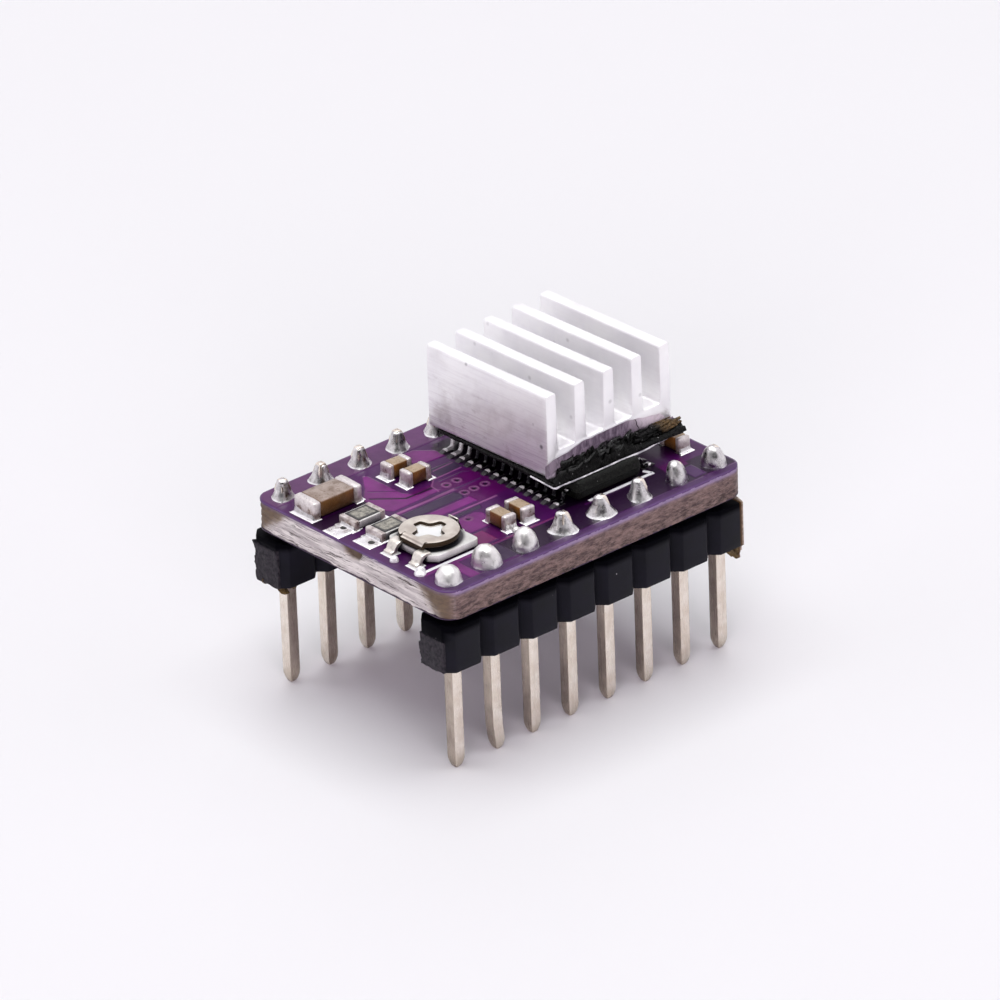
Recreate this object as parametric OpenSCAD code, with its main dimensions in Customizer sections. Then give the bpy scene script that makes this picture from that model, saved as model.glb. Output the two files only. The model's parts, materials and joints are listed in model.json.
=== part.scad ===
// Carrier board for a stepper motor driver chip: a small circuit board on two rows of header
// pins, with a chip, a stick-on heat sink, a trimmer for the motor current and small parts.
// Millimetres. +Z is up, +X runs along the pin rows towards the heat sink, and the origin is
// the middle of the pin pattern on the plane where the header plastics sit down.

/* [Board] */
// Length of the board along the pin rows
board_l = 20; // [20:0.1:21]
// Width of the board across the pin rows
board_w = 15; // [14.8:0.1:16]
// Thickness of the board with its films
board_t = 1.6; // [1.2:0.1:2]
// Corner radius of the board
board_r = 1; // [0.4:0.1:1.4]
// Air gap between the header plastics and the board
board_gap = 0.35; // [0.2:0.05:0.6]

/* [Header pins] */
// Distance from pin to pin along a row
pitch = 2.54; // [2.54:0.01:2.54]
// Distance between the two rows
row_space = 12.7; // [12.7:0.01:12.7]
// Pins in one row
row_count = 8; // [8:1:8]
// Side of a square pin
pin_side = 0.64; // [0.6:0.01:0.66]
// Length of a pin below the plastic
pin_drop = 6; // [5:0.1:8]
// Length of a pin above the board
pin_rise = 1.05; // [0.8:0.05:1.4]
// Height of the header plastic
plastic_h = 2.5; // [2:0.1:3]
// Width of the header plastic across the row
plastic_w = 2.5; // [2.3:0.05:2.54]

/* [Driver chip] */
// Middle of the chip along the rows
chip_x = 3.3; // [3.2:0.05:3.5]
// Middle of the chip across the rows
chip_y = 0.1; // [0:0.05:0.2]
// Width of the moulded body
chip_w = 4.4; // [4.3:0.05:4.5]
// Length of the moulded body
chip_l = 9.7; // [9.6:0.05:9.8]
// Thickness of the moulded body
chip_t = 1; // [0.9:0.05:1.1]

/* [Heat sink] */
// Width of the heat sink across its fins
sink_w = 8.6; // [8:0.1:9]
// Length of the heat sink along its fins
sink_l = 8.8; // [8:0.1:9]
// Height of the heat sink
sink_h = 4.6; // [4:0.1:6]
// Number of fins
fin_count = 5; // [4:1:6]
// Thickness of one fin
fin_t = 0.72; // [0.5:0.02:0.9]
// Thickness of the heat sink's floor
sink_floor = 1.35; // [1:0.05:1.6]
// Small turn the heat sink was stuck on with, in degrees
sink_turn = 1.8; // [0:0.1:3]
// Thickness of the adhesive tape under the heat sink
tape_t = 0.2; // [0.1:0.05:0.3]

/* [Trimmer] */
// Middle of the trimmer's rotor along the rows
trim_x = -7.1; // [-7.2:0.05:-7]
// Middle of the trimmer's rotor across the rows
trim_y = -2.85; // [-2.9:0.05:-2.8]
// Radius of the trimmer's rotor plate
rotor_r = 1.55; // [1.4:0.05:1.6]

/* [Hidden] */
$fn = 48;
film_t = 0.05;
foil_t = 0.035;
ink_t = 0.02;
cut = 1;
board_z = plastic_h + board_gap;
top_z = board_z + board_t;
foil_top_z = top_z - film_t + foil_t;
foil_low_z = board_z + film_t - foil_t;
row_y = row_space / 2;
row_x = (row_count - 1) * pitch / 2;
drill_r = 0.53;
barrel_t = 0.03;
land_r = 0.85;
via_r = 0.18;
via_land_r = 0.3;
tip_len = 0.55;
tip_side = 0.34;
chamfer = 0.47;
chip_lift = 0.1;
lead_count = 14;
lead_pitch = 0.65;
lead_w = 0.24;
lead_t = 0.15;
lead_span = 6.4;
lead_foot = 0.55;
lead_z = chip_lift + 0.43;
chip_top_z = top_z + chip_lift + chip_t;
paddle_w = 3;
paddle_l = 5.2;
die_w = 2.3;
die_l = 3.6;
die_t = 0.25;
bond_t = 0.03;
wire_r = 0.015;
tape_w = sink_w + 0.2;
tape_l = sink_l;
sink_z = chip_top_z + tape_t;
sink_x = chip_x + 1.06;
sink_y = chip_y + 0.86;
fin_pitch = (sink_w - fin_t) / (fin_count - 1);
trim_base_w = 3.1;
trim_base_l = 3.44;
trim_base_x = trim_x + 0.15;
trim_base_y = trim_y - 0.12;
trim_lift = 0.08;
trim_base_t = 0.4;
trim_top = trim_lift + trim_base_t;
track_t = 0.02;
cup_z = 0.54;
cup_floor = 0.1;
plate_z = 0.67;
plate_t = 0.28;
slot_l = 1.9;
slot_w = 0.5;
rivet_r = 0.25;
strap_t = 0.12;
strap_w = 0.7;
lug_top = 0.92;
stop_x = 1.38;
stop_y = 1.02;
strap_y = [-1.1, 0.8];

// Chip capacitors and resistors: size along the part, across it, and height
bulk_cap = [3.2, 1.6, 0.95];
small_cap = [1.48, 0.78, 0.78];
resistor = [2, 1.25, 0.5];
bulk_at = [-7.9, 4, 0];
bulk_reach = 0.15;
end_reach = 0.4;
// Middle and turn of each small capacitor and of each resistor
small_at = [[-3.15, 4.27, 0], [-3, 2.97, 0], [-3.1, -3.68, 90], [-1.85, -3.68, 90], [8.8, -3.52, 90]];
resistor_at = [[-7.75, 1.55, 0], [-7.65, -0.35, 0]];
// Ends and width of each straight run of copper
runs = [
    [-6.1, 1.5, -0.4, 1.5, 0.5],
    [-6.1, 0.75, -0.4, 0.85, 0.2],
    [-6, 0.3, -2.2, 0.3, 0.45],
    [-5, -0.55, -0.4, -0.55, 0.4],
    [-5, -1.2, -0.4, -1.2, 0.2],
    [-2.2, 2.97, -0.4, 2.97, 0.3],
    [-2.3, 4.27, -0.4, 3.6, 0.3],
    [-6.1, 2.6, -4.3, 4.4, 0.9],
    [-1.85, -2.8, -0.4, -2.5, 0.3],
    [-3.1, -2.8, -0.4, -1.85, 0.25],
    [-3.1, -4.6, -3.81, -6.35, 0.4],
    [-1.85, -4.6, -1.27, -6.35, 0.4],
    [6.9, -4.12, 8.8, -4.3, 0.3],
    [7, 3.35, 8.89, 6.35, 0.35]
];
vias = [[-2.5, 1.5], [-1.5, 1.5], [-2.2, 0.3], [-0.7, 0.85], [-2.2, -0.55]];

// ---- shared shapes ----

function row_point(i) = i * pitch - row_x;

module each_pin(side) {
    for (i = [0 : row_count - 1]) {
        translate([row_point(i), side * row_y, 0])
            children();
    }
}

module both_rows() {
    each_pin(-1)
        children();
    each_pin(1)
        children();
}

module board_outline() {
    square([board_l - 2 * board_r, board_w], center = true);
    square([board_l, board_w - 2 * board_r], center = true);
    for (x = [-1, 1], y = [-1, 1]) {
        translate([x * (board_l / 2 - board_r), y * (board_w / 2 - board_r)])
            circle(r = board_r);
    }
}

module centred_plate(w, l, t) {
    translate([-w / 2, -l / 2, 0])
        cube([w, l, t]);
}

module placed(at) {
    translate([at[0], at[1], top_z])
        rotate([0, 0, at[2]])
            children();
}

module run(line) {
    dx = line[2] - line[0];
    dy = line[3] - line[1];
    w = line[4];
    translate([line[0], line[1]])
        rotate([0, 0, atan2(dy, dx)])
            translate([-w / 2, -w / 2])
                square([sqrt(dx * dx + dy * dy) + w, w]);
}

module rod(from, to, r) {
    step = to - from;
    flat = norm([step[0], step[1]]);
    translate(from)
        rotate([0, atan2(flat, step[2]), atan2(step[1], step[0])])
            cylinder(h = norm(step), r = r, $fn = 16);
}

// ---- pads ----

module end_pads(size, at, reach) {
    translate([at[0], at[1]])
        rotate([0, 0, at[2]])
            for (turn = [0, 180]) {
                rotate([0, 0, turn])
                    translate([size[0] / 2 - 0.4, -size[1] / 2 - 0.05])
                        square([reach + 0.4, size[1] + 0.1]);
            }
}

// Two large bare pads beside the board's edge, one at the outer end of each resistor
module wide_pads() {
    for (at = resistor_at) {
        translate([-board_l / 2 + 0.1, at[1] - 0.7])
            square([1.5, 1.3]);
    }
}

module chip_pads() {
    translate([chip_x, chip_y]) {
        for (i = [0 : lead_count - 1], x = [-1, 1]) {
            translate([x * (lead_span / 2 - 0.15), (i - (lead_count - 1) / 2) * lead_pitch])
                square([1.1, 0.38], center = true);
        }
        square([paddle_w, paddle_l], center = true);
    }
}

module trim_pads() {
    for (y = strap_y) {
        translate([trim_base_x - trim_base_w / 2 - 0.35, trim_y + y])
            square([1, 0.8], center = true);
    }
    translate([trim_base_x + trim_base_w / 2 + 0.2, trim_y + 0.3])
        square([0.8, 1.1], center = true);
}

module small_part_pads() {
    end_pads(bulk_cap, bulk_at, bulk_reach);
    for (at = small_at) {
        end_pads(small_cap, at, end_reach);
    }
    for (at = resistor_at) {
        end_pads(resistor, at, end_reach);
    }
    wide_pads();
}

module top_pads() {
    chip_pads();
    trim_pads();
    small_part_pads();
    both_rows()
        circle(r = land_r);
}

// ---- board ----

module board_core() {
    color([0.78, 0.72, 0.52])
        difference() {
            translate([0, 0, board_z + film_t])
                linear_extrude(board_t - 2 * film_t)
                    board_outline();
            translate([0, 0, board_z - cut])
                linear_extrude(board_t + 2 * cut) {
                    both_rows()
                        circle(r = drill_r);
                    for (at = vias) {
                        translate(at)
                            circle(r = via_r);
                    }
                }
        }
}

module plated_holes() {
    color([0.85, 0.6, 0.35])
        translate([0, 0, board_z + film_t])
            linear_extrude(board_t - 2 * film_t) {
                both_rows()
                    ring(drill_r);
                for (at = vias) {
                    translate(at)
                        ring(via_r);
                }
            }
}

module ring(r) {
    difference() {
        circle(r = r);
        circle(r = r - barrel_t);
    }
}

module hole_cuts() {
    both_rows()
        circle(r = drill_r - barrel_t);
}

module top_foil_plan() {
    difference() {
        union() {
            top_pads();
            for (line = runs) {
                run(line);
            }
            for (at = vias) {
                translate(at)
                    circle(r = via_land_r);
            }
        }
        hole_cuts();
    }
}

module copper_top() {
    color([0.85, 0.6, 0.35])
        translate([0, 0, top_z - film_t])
            linear_extrude(foil_t)
                top_foil_plan();
}

module bottom_foil_plan() {
    difference() {
        union() {
            both_rows()
                circle(r = land_r);
            difference() {
                square([board_l - 1, board_w - 1], center = true);
                both_rows()
                    circle(r = land_r + 0.25);
            }
        }
        hole_cuts();
    }
}

module copper_bottom() {
    color([0.85, 0.6, 0.35])
        translate([0, 0, foil_low_z])
            linear_extrude(foil_t)
                bottom_foil_plan();
}

module mask_top() {
    color([0.32, 0.12, 0.4])
        difference() {
            translate([0, 0, top_z - film_t])
                linear_extrude(film_t)
                    board_outline();
            translate([0, 0, top_z - film_t - cut])
                linear_extrude(foil_t + cut)
                    top_foil_plan();
            translate([0, 0, top_z - film_t - cut])
                linear_extrude(film_t + 2 * cut)
                    top_pads();
        }
}

module mask_bottom() {
    color([0.32, 0.12, 0.4])
        difference() {
            translate([0, 0, board_z])
                linear_extrude(film_t)
                    board_outline();
            translate([0, 0, foil_low_z])
                linear_extrude(foil_t + cut)
                    bottom_foil_plan();
            translate([0, 0, board_z - cut])
                linear_extrude(film_t + 2 * cut)
                    both_rows()
                        circle(r = land_r);
        }
}

module legend_top() {
    color([0.95, 0.95, 0.95])
        translate([0, 0, top_z])
            linear_extrude(ink_t) {
                translate([trim_x - 1.65, trim_y - 2.13])
                    square([3.7, 0.16]);
                translate([chip_x - 1.5, chip_y - 5.1])
                    square([4.4, 0.18]);
            }
}

// ---- header ----

module plastic_plan() {
    p = pitch / 2;
    w = plastic_w / 2;
    polygon([
        [-p, chamfer - w], [chamfer - p, -w], [p - chamfer, -w], [p, chamfer - w],
        [p, w - chamfer], [p - chamfer, w], [chamfer - p, w], [-p, w - chamfer]
    ]);
}

module header_plastic(side) {
    color([0.06, 0.06, 0.07])
        difference() {
            linear_extrude(plastic_h)
                each_pin(side)
                    plastic_plan();
            translate([0, 0, -cut])
                linear_extrude(plastic_h + 2 * cut)
                    each_pin(side)
                        square(pin_side, center = true);
        }
}

module pin_profile() {
    low = -pin_drop;
    high = top_z + pin_rise;
    side = pin_side / 2;
    tip = tip_side / 2;
    rotate([90, 0, 0])
        linear_extrude(pin_side, center = true)
            polygon([
                [-tip, low], [tip, low], [side, low + tip_len], [side, high - tip_len],
                [tip, high], [-tip, high], [-side, high - tip_len], [-side, low + tip_len]
            ]);
}

module pin() {
    intersection() {
        pin_profile();
        rotate([0, 0, 90])
            pin_profile();
    }
}

module pins(side) {
    color([0.82, 0.78, 0.7])
        each_pin(side)
            pin();
}

module solder_joint(r, h) {
    top = foil_top_z;
    rotate_extrude()
        polygon([
            [0, foil_low_z], [0.8, foil_low_z], [0.62, board_z - 0.12], [0.5, board_z - 0.16],
            [0, board_z - 0.16]
        ]);
    translate([0, 0, foil_low_z])
        cylinder(h = top - foil_low_z, r = drill_r - barrel_t);
    translate([0, 0, top])
        rotate_extrude()
            polygon([
                [0, 0], [r, 0], [r * 0.93, h * 0.18], [r * 0.7, h * 0.5], [r * 0.5, h * 0.82],
                [r * 0.3, h * 0.97], [0, h]
            ]);
}

module pin_solder(side) {
    color([0.8, 0.8, 0.82])
        for (i = [0 : row_count - 1]) {
            translate([row_point(i), side * row_y, 0])
                difference() {
                    solder_joint(0.69 + 0.04 * sin(i * 77), 0.88 + 0.14 * sin(i * 131 + side * 40));
                    pin();
                }
        }
}

// ---- driver chip ----

module body_profile(w, l) {
    edge = w / 2;
    rotate([90, 0, 0])
        linear_extrude(l, center = true)
            polygon([
                [0.1 - edge, chip_lift], [edge - 0.1, chip_lift], [edge, lead_z],
                [edge, lead_z + lead_t], [edge - 0.12, chip_lift + chip_t],
                [0.12 - edge, chip_lift + chip_t], [-edge, lead_z + lead_t], [-edge, lead_z]
            ]);
}

module at_chip() {
    translate([chip_x, chip_y, top_z])
        children();
}

module chip_body() {
    color([0.09, 0.09, 0.1])
        difference() {
            at_chip()
                intersection() {
                    body_profile(chip_w, chip_l);
                    rotate([0, 0, 90])
                        body_profile(chip_l, chip_w);
                }
            chip_leads();
            chip_paddle();
            chip_die_bond();
            chip_die();
            chip_wires();
        }
}

module lead() {
    toe = lead_span / 2;
    heel = toe - lead_foot;
    polygon([
        [toe, bond_t], [toe, bond_t + lead_t], [heel + 0.1, bond_t + lead_t],
        [heel - 0.05, lead_z + lead_t], [paddle_w / 2 + 0.25, lead_z + lead_t],
        [paddle_w / 2 + 0.25, lead_z], [heel - 0.15, lead_z], [heel - 0.02, bond_t]
    ]);
}

module each_lead() {
    for (i = [0 : lead_count - 1], turn = [0, 180]) {
        rotate([0, 0, turn])
            translate([0, (i - (lead_count - 1) / 2) * lead_pitch, 0])
                children();
    }
}

module chip_leads() {
    color([0.82, 0.82, 0.84])
        at_chip()
            each_lead()
                rotate([90, 0, 0])
                    linear_extrude(lead_w, center = true)
                        lead();
}

module chip_paddle() {
    color([0.85, 0.6, 0.35])
        at_chip()
            translate([0, 0, chip_lift])
                centred_plate(paddle_w, paddle_l, lead_t);
}

module chip_die_bond() {
    color([0.7, 0.7, 0.72])
        at_chip()
            translate([0, 0, chip_lift + lead_t])
                centred_plate(die_w, die_l, bond_t);
}

module chip_die() {
    color([0.35, 0.36, 0.42])
        at_chip()
            translate([0, 0, chip_lift + lead_t + bond_t])
                centred_plate(die_w, die_l, die_t);
}

// One fine wire from the die's edge up over to the inner end of a lead
module wire(i) {
    lead_y = (i - (lead_count - 1) / 2) * lead_pitch;
    die_y = lead_y * (die_l - 0.4) / (lead_pitch * (lead_count - 1));
    die_top = chip_lift + lead_t + bond_t + die_t;
    foot = [die_w / 2 - 0.12, die_y, die_top];
    crest = [die_w / 2 + 0.05, die_y, die_top + 0.28];
    landing = [paddle_w / 2 + 0.32, lead_y, lead_z + lead_t];
    rod(foot, crest, wire_r);
    rod(crest, landing, wire_r);
}

module chip_wires() {
    color([0.95, 0.78, 0.35])
        difference() {
            at_chip()
                for (i = [0 : lead_count - 1], turn = [0, 180]) {
                    rotate([0, 0, turn])
                        wire(i);
                }
            chip_leads();
            chip_die();
        }
}

module chip_solder() {
    color([0.8, 0.8, 0.82])
        translate([0, 0, foil_top_z]) {
            at_chip_plan()
                each_lead()
                    lead_fillet();
            at_chip_plan()
                centred_plate(paddle_w, paddle_l, top_z - foil_top_z + chip_lift);
        }
}

module at_chip_plan() {
    translate([chip_x, chip_y, 0])
        children();
}

// Thin solder under a lead's foot with a low wedge at the toe
module lead_fillet() {
    toe = lead_span / 2;
    low = top_z - foil_top_z + bond_t;
    rotate([90, 0, 0])
        linear_extrude(0.3, center = true)
            polygon([
                [toe - lead_foot - 0.05, 0], [toe + 0.35, 0], [toe, low + 0.1], [toe, low],
                [toe - lead_foot - 0.02, low]
            ]);
}

// ---- heat sink ----

module thermal_tape() {
    color([0.1, 0.1, 0.1])
        translate([sink_x, chip_y, chip_top_z])
            centred_plate(tape_w, tape_l, tape_t);
}

module heatsink() {
    color([0.88, 0.88, 0.9])
        translate([sink_x, sink_y, sink_z])
            rotate([0, 0, sink_turn]) {
                centred_plate(sink_w, sink_l, sink_floor);
                for (i = [0 : fin_count - 1]) {
                    translate([i * fin_pitch - (sink_w - fin_t) / 2, 0, 0])
                        centred_plate(fin_t, sink_l, sink_h);
                }
            }
}

// ---- chip capacitors and resistors ----

module part_body(size, cap_len) {
    translate([cap_len - size[0] / 2, 0.03 - size[1] / 2, 0.05])
        cube([size[0] - 2 * cap_len, size[1] - 0.06, size[2] - 0.06]);
}

module part_ends(size, cap_len) {
    for (x = [-1, 1]) {
        translate([x * (size[0] - cap_len) / 2, 0, 0.02])
            centred_plate(cap_len, size[1], size[2] - 0.02);
    }
}

module cap_bulk_body() {
    color([0.55, 0.4, 0.26])
        placed(bulk_at)
            part_body(bulk_cap, 0.5);
}

module cap_bulk_ends() {
    color([0.85, 0.85, 0.86])
        placed(bulk_at)
            part_ends(bulk_cap, 0.5);
}

module cap_small_bodies() {
    color([0.62, 0.42, 0.22])
        for (at = small_at) {
            placed(at)
                part_body(small_cap, 0.3);
        }
}

module cap_small_ends() {
    color([0.85, 0.85, 0.86])
        for (at = small_at) {
            placed(at)
                part_ends(small_cap, 0.3);
        }
}

module each_resistor() {
    for (at = resistor_at) {
        placed(at)
            children();
    }
}

module resistor_bodies() {
    color([0.92, 0.92, 0.9])
        each_resistor()
            translate([0.3 - resistor[0] / 2, -resistor[1] / 2, 0.04])
                cube([resistor[0] - 0.6, resistor[1], resistor[2] - 0.08]);
}

module resistor_films() {
    color([0.1, 0.1, 0.11])
        each_resistor()
            translate([0, 0, resistor[2] - 0.04])
                centred_plate(resistor[0] - 0.64, resistor[1] - 0.2, 0.03);
}

module resistor_ends() {
    color([0.85, 0.85, 0.86])
        each_resistor()
            part_ends(resistor, 0.3);
}

// A wedge of solder against one end of a part, on its pad
module end_fillet(size, reach) {
    low = foil_top_z - top_z;
    rise = size[2] * 0.6;
    translate([size[0] / 2, size[1] * 0.45, 0])
        rotate([90, 0, 0])
            linear_extrude(size[1] * 0.9)
                polygon([[0, low], [reach, low], [reach * 0.35, rise * 0.4], [0, rise]]);
    translate([size[0] / 2 - 0.3, -size[1] * 0.45, low])
        cube([0.3, size[1] * 0.9, 0.02 - low]);
}

module end_solder(size, at, reach) {
    placed(at) {
        end_fillet(size, reach);
        rotate([0, 0, 180])
            end_fillet(size, reach);
    }
}

module part_solder() {
    color([0.8, 0.8, 0.82]) {
        end_solder(bulk_cap, bulk_at, bulk_reach);
        for (at = small_at) {
            end_solder(small_cap, at, end_reach);
        }
        for (at = resistor_at) {
            end_solder(resistor, at, end_reach);
        }
    }
}

// ---- trimmer ----

module at_trim() {
    translate([trim_x, trim_y, top_z])
        children();
}

module trim_base() {
    half = trim_base_l / 2;
    color([0.93, 0.92, 0.9])
        at_trim()
            translate([trim_base_x - trim_x, trim_base_y - trim_y, 0])
                difference() {
                    translate([0, 0, trim_lift])
                        linear_extrude(trim_base_t)
                            polygon([
                                [-trim_base_w / 2, 0.35 - half], [0.35 - trim_base_w / 2, -half],
                                [trim_base_w / 2, -half], [trim_base_w / 2, half],
                                [-trim_base_w / 2, half]
                            ]);
                    translate([trim_x - trim_base_x, trim_y - trim_base_y, 0])
                        cylinder(h = 1, r = rivet_r);
                }
}

module trim_track() {
    color([0.05, 0.05, 0.05])
        at_trim()
            translate([0, 0, trim_top])
                linear_extrude(track_t)
                    difference() {
                        circle(r = 1.4);
                        circle(r = 0.85);
                        translate([0, -0.35])
                            square([2, 0.7]);
                    }
}

module trim_rivet() {
    color([0.8, 0.78, 0.74])
        at_trim() {
            translate([0, 0, trim_lift - 0.04])
                cylinder(h = 0.04, r = 0.5);
            translate([0, 0, trim_lift])
                cylinder(h = cup_z + cup_floor + 0.02 - trim_lift, r = rivet_r);
            translate([0, 0, cup_z + cup_floor + 0.02])
                cylinder(h = 0.06, r = 0.36);
        }
}

// A strap folded round the edge of the ceramic base, with its foot on the board
module strap(top_len) {
    high = trim_top + strap_t;
    foot = 0.02;
    rotate([90, 0, 0])
        linear_extrude(strap_w, center = true)
            polygon([
                [-top_len, trim_top], [0, trim_top], [0, foot], [0.45, foot],
                [0.45, foot + strap_t], [strap_t, foot + strap_t], [strap_t, high],
                [-top_len, high]
            ]);
}

module trim_end_straps() {
    color([0.85, 0.85, 0.86])
        for (y = strap_y) {
            translate([trim_base_x - trim_base_w / 2, trim_y + y, top_z])
                rotate([0, 0, 180])
                    strap(0.1);
        }
}

// Upright lug against the side of the base, its foot on the board
module trim_wiper_strap() {
    foot = 0.02;
    color([0.85, 0.85, 0.86])
        translate([trim_base_x + trim_base_w / 2, trim_y + 0.2, top_z])
            rotate([90, 0, 0])
                linear_extrude(strap_w, center = true)
                    polygon([
                        [0, foot], [0.45, foot], [0.45, foot + strap_t], [strap_t, foot + strap_t],
                        [strap_t, lug_top], [0, lug_top]
                    ]);
}

// Round plate, cut flat on one side, with the corner that meets the end stop
module rotor_plan() {
    difference() {
        circle(r = rotor_r);
        translate([-stop_x - rotor_r, -rotor_r])
            square([rotor_r, 2 * rotor_r]);
    }
    translate([-stop_x, -stop_y])
        square([stop_x / 2, stop_y]);
}

module trim_rotor() {
    color([0.86, 0.83, 0.78])
        at_trim()
            difference() {
                union() {
                    translate([0, 0, plate_z])
                        linear_extrude(plate_t)
                            rotor_plan();
                    translate([0, 0, cup_z])
                        cylinder(h = plate_z - cup_z, r = 1.08);
                }
                translate([0, 0, cup_z + cup_floor]) {
                    centred_plate(slot_l, slot_w, 1);
                    centred_plate(slot_w, slot_l, 1);
                    cylinder(h = 1, r = 0.42);
                }
                cylinder(h = 1, r = rivet_r + 0.02);
            }
}

// Flat spring carried under the rotor, with one finger over the resistive track
module trim_wiper() {
    color([0.8, 0.72, 0.5])
        at_trim()
            translate([0, 0, trim_top + track_t + 0.01])
                linear_extrude(cup_z - trim_top - track_t - 0.01)
                    difference() {
                        union() {
                            circle(r = 0.7);
                            translate([-1.3, -0.2])
                                square([1, 0.4]);
                        }
                        circle(r = rivet_r + 0.02);
                    }
}

board_core();
copper_top();
copper_bottom();
plated_holes();
mask_top();
mask_bottom();
legend_top();
header_plastic(-1);  // header_plastic_front
header_plastic(1);  // header_plastic_rear
pins(-1);  // pins_front
pins(1);  // pins_rear
pin_solder(-1);  // pin_solder_front
pin_solder(1);  // pin_solder_rear
chip_body();
chip_leads();
chip_paddle();
chip_die();
chip_die_bond();
chip_wires();
chip_solder();
thermal_tape();
heatsink();
cap_bulk_body();
cap_bulk_ends();
cap_small_bodies();
cap_small_ends();
resistor_bodies();
resistor_films();
resistor_ends();
part_solder();
trim_base();
trim_track();
trim_rivet();
trim_end_straps();
trim_wiper_strap();
trim_rotor();
trim_wiper();
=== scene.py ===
import json
import math
import random

import bmesh
import bpy
import numpy as np
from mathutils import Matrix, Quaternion, Vector, noise


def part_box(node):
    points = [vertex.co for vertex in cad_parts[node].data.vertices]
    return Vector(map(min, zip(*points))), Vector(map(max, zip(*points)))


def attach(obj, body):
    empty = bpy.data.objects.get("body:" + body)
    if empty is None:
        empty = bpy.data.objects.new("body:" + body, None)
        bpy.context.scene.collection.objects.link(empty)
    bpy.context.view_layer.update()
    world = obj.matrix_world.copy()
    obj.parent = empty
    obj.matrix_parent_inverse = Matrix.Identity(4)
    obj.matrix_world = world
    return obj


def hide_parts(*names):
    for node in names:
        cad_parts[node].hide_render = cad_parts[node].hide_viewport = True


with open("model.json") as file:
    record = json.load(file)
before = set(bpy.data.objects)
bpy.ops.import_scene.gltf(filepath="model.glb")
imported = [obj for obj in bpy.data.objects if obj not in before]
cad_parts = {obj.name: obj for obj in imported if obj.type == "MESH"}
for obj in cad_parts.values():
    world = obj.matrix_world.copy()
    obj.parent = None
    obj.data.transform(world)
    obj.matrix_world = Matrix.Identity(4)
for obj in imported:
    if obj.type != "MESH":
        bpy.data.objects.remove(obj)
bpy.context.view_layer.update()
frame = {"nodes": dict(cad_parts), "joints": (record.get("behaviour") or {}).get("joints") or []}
MM = 0.001
UP = Vector((0, 0, 1))
# Unless it is given a seed, noise_vector() takes its offsets from the clock
noise.seed_set(1)


# ---- measures read from the frame, in millimetres ----

def box_mm(node):
    low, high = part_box(node)
    return Vector(low) / MM, Vector(high) / MM


MASK_HIGH = box_mm("mask_top")[1]
TOP = MASK_HIGH.z
BOARD_HALF = Vector((MASK_HIGH.x, MASK_HIGH.y))
BOARD_LOW = box_mm("mask_bottom")[0].z
BOARD_CORNER = 1.0
PINS_LOW, PINS_HIGH = box_mm("pins_front")
PIN_COUNT = 8
PIN_SIDE = PINS_HIGH.y - PINS_LOW.y
PITCH = (PINS_HIGH.x - PINS_LOW.x - PIN_SIDE) / (PIN_COUNT - 1)
PIN_X = [PINS_LOW.x + PIN_SIDE / 2 + i * PITCH for i in range(PIN_COUNT)]
ROWS = {"front": (PINS_LOW.y + PINS_HIGH.y) / 2, "rear": -(PINS_LOW.y + PINS_HIGH.y) / 2}
PLASTIC_LOW, PLASTIC_HIGH = box_mm("header_plastic_front")
CHIP_LOW, CHIP_HIGH = box_mm("chip_body")
LEADS_LOW, LEADS_HIGH = box_mm("chip_leads")
TAPE_LOW, TAPE_HIGH = box_mm("thermal_tape")
SINK_LOW, SINK_HIGH = box_mm("heatsink")
BASE_LOW, BASE_HIGH = box_mm("trim_base")
ROTOR_LOW, ROTOR_HIGH = box_mm("trim_rotor")
STRAPS_LOW, STRAPS_HIGH = box_mm("trim_end_straps")
WIPER_STRAP_LOW, WIPER_STRAP_HIGH = box_mm("trim_wiper_strap")
JOINT_AT = Vector(frame["joints"][0]["pos_m"]) / MM
ROTOR_RADIUS = ROTOR_HIGH.x - JOINT_AT.x
STOP_REACH = JOINT_AT.x - ROTOR_LOW.x
# Height at which the leads leave the chip, where its mould parts
SHOULDER = CHIP_LOW.z + 0.5
# Place along x that parts the bulk capacitor from the small ones
BULK_SIDE = -5.75
# How far each strip was snapped off short at +X, and how high its torn end reaches at -X
STRIP_SHORT = {"front": 0.34, "rear": 0.0}
STRIP_TORN_TOP = {"front": 1.75, "rear": 2.1}


# ---- small geometry helpers ----

class Shape:
    """Points and faces gathered from several closed solids."""

    def __init__(self):
        self.points = []
        self.faces = []

    def add(self, solid):
        points, faces = solid
        start = len(self.points)
        self.points.extend(Vector(p) for p in points)
        self.faces.extend(tuple(start + i for i in face) for face in faces)
        return self


def changed(solid, function):
    """The same solid with each point passed through function."""
    points, faces = solid
    return [function(Vector(p)) for p in points], faces


def loft(rings, caps=True):
    """Skin over rings of equal length, closed at both ends."""
    count = len(rings[0])
    points = [Vector(p) for ring in rings for p in ring]
    faces = []
    for i in range(len(rings) - 1):
        for j in range(count):
            k = (j + 1) % count
            faces.append((i * count + j, i * count + k, (i + 1) * count + k, (i + 1) * count + j))
    if caps:
        faces.append(tuple(reversed(range(count))))
        faces.append(tuple(range((len(rings) - 1) * count, len(rings) * count)))
    return points, faces


def rounded(outline, radius, steps=3):
    """A closed 2-D outline with each corner turned into an arc; radius is one number or one per corner."""
    points = []
    count = len(outline)
    for i in range(count):
        here = Vector(outline[i])
        back = Vector(outline[i - 1]) - here
        ahead = Vector(outline[(i + 1) % count]) - here
        wanted = radius[i] if isinstance(radius, list) else radius
        reach = min(wanted, back.length * 0.45, ahead.length * 0.45)
        start = here + back.normalized() * reach
        end = here + ahead.normalized() * reach
        for step in range(steps + 1):
            t = step / steps
            points.append(start.lerp(here, t).lerp(here.lerp(end, t), t))
    return points


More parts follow.
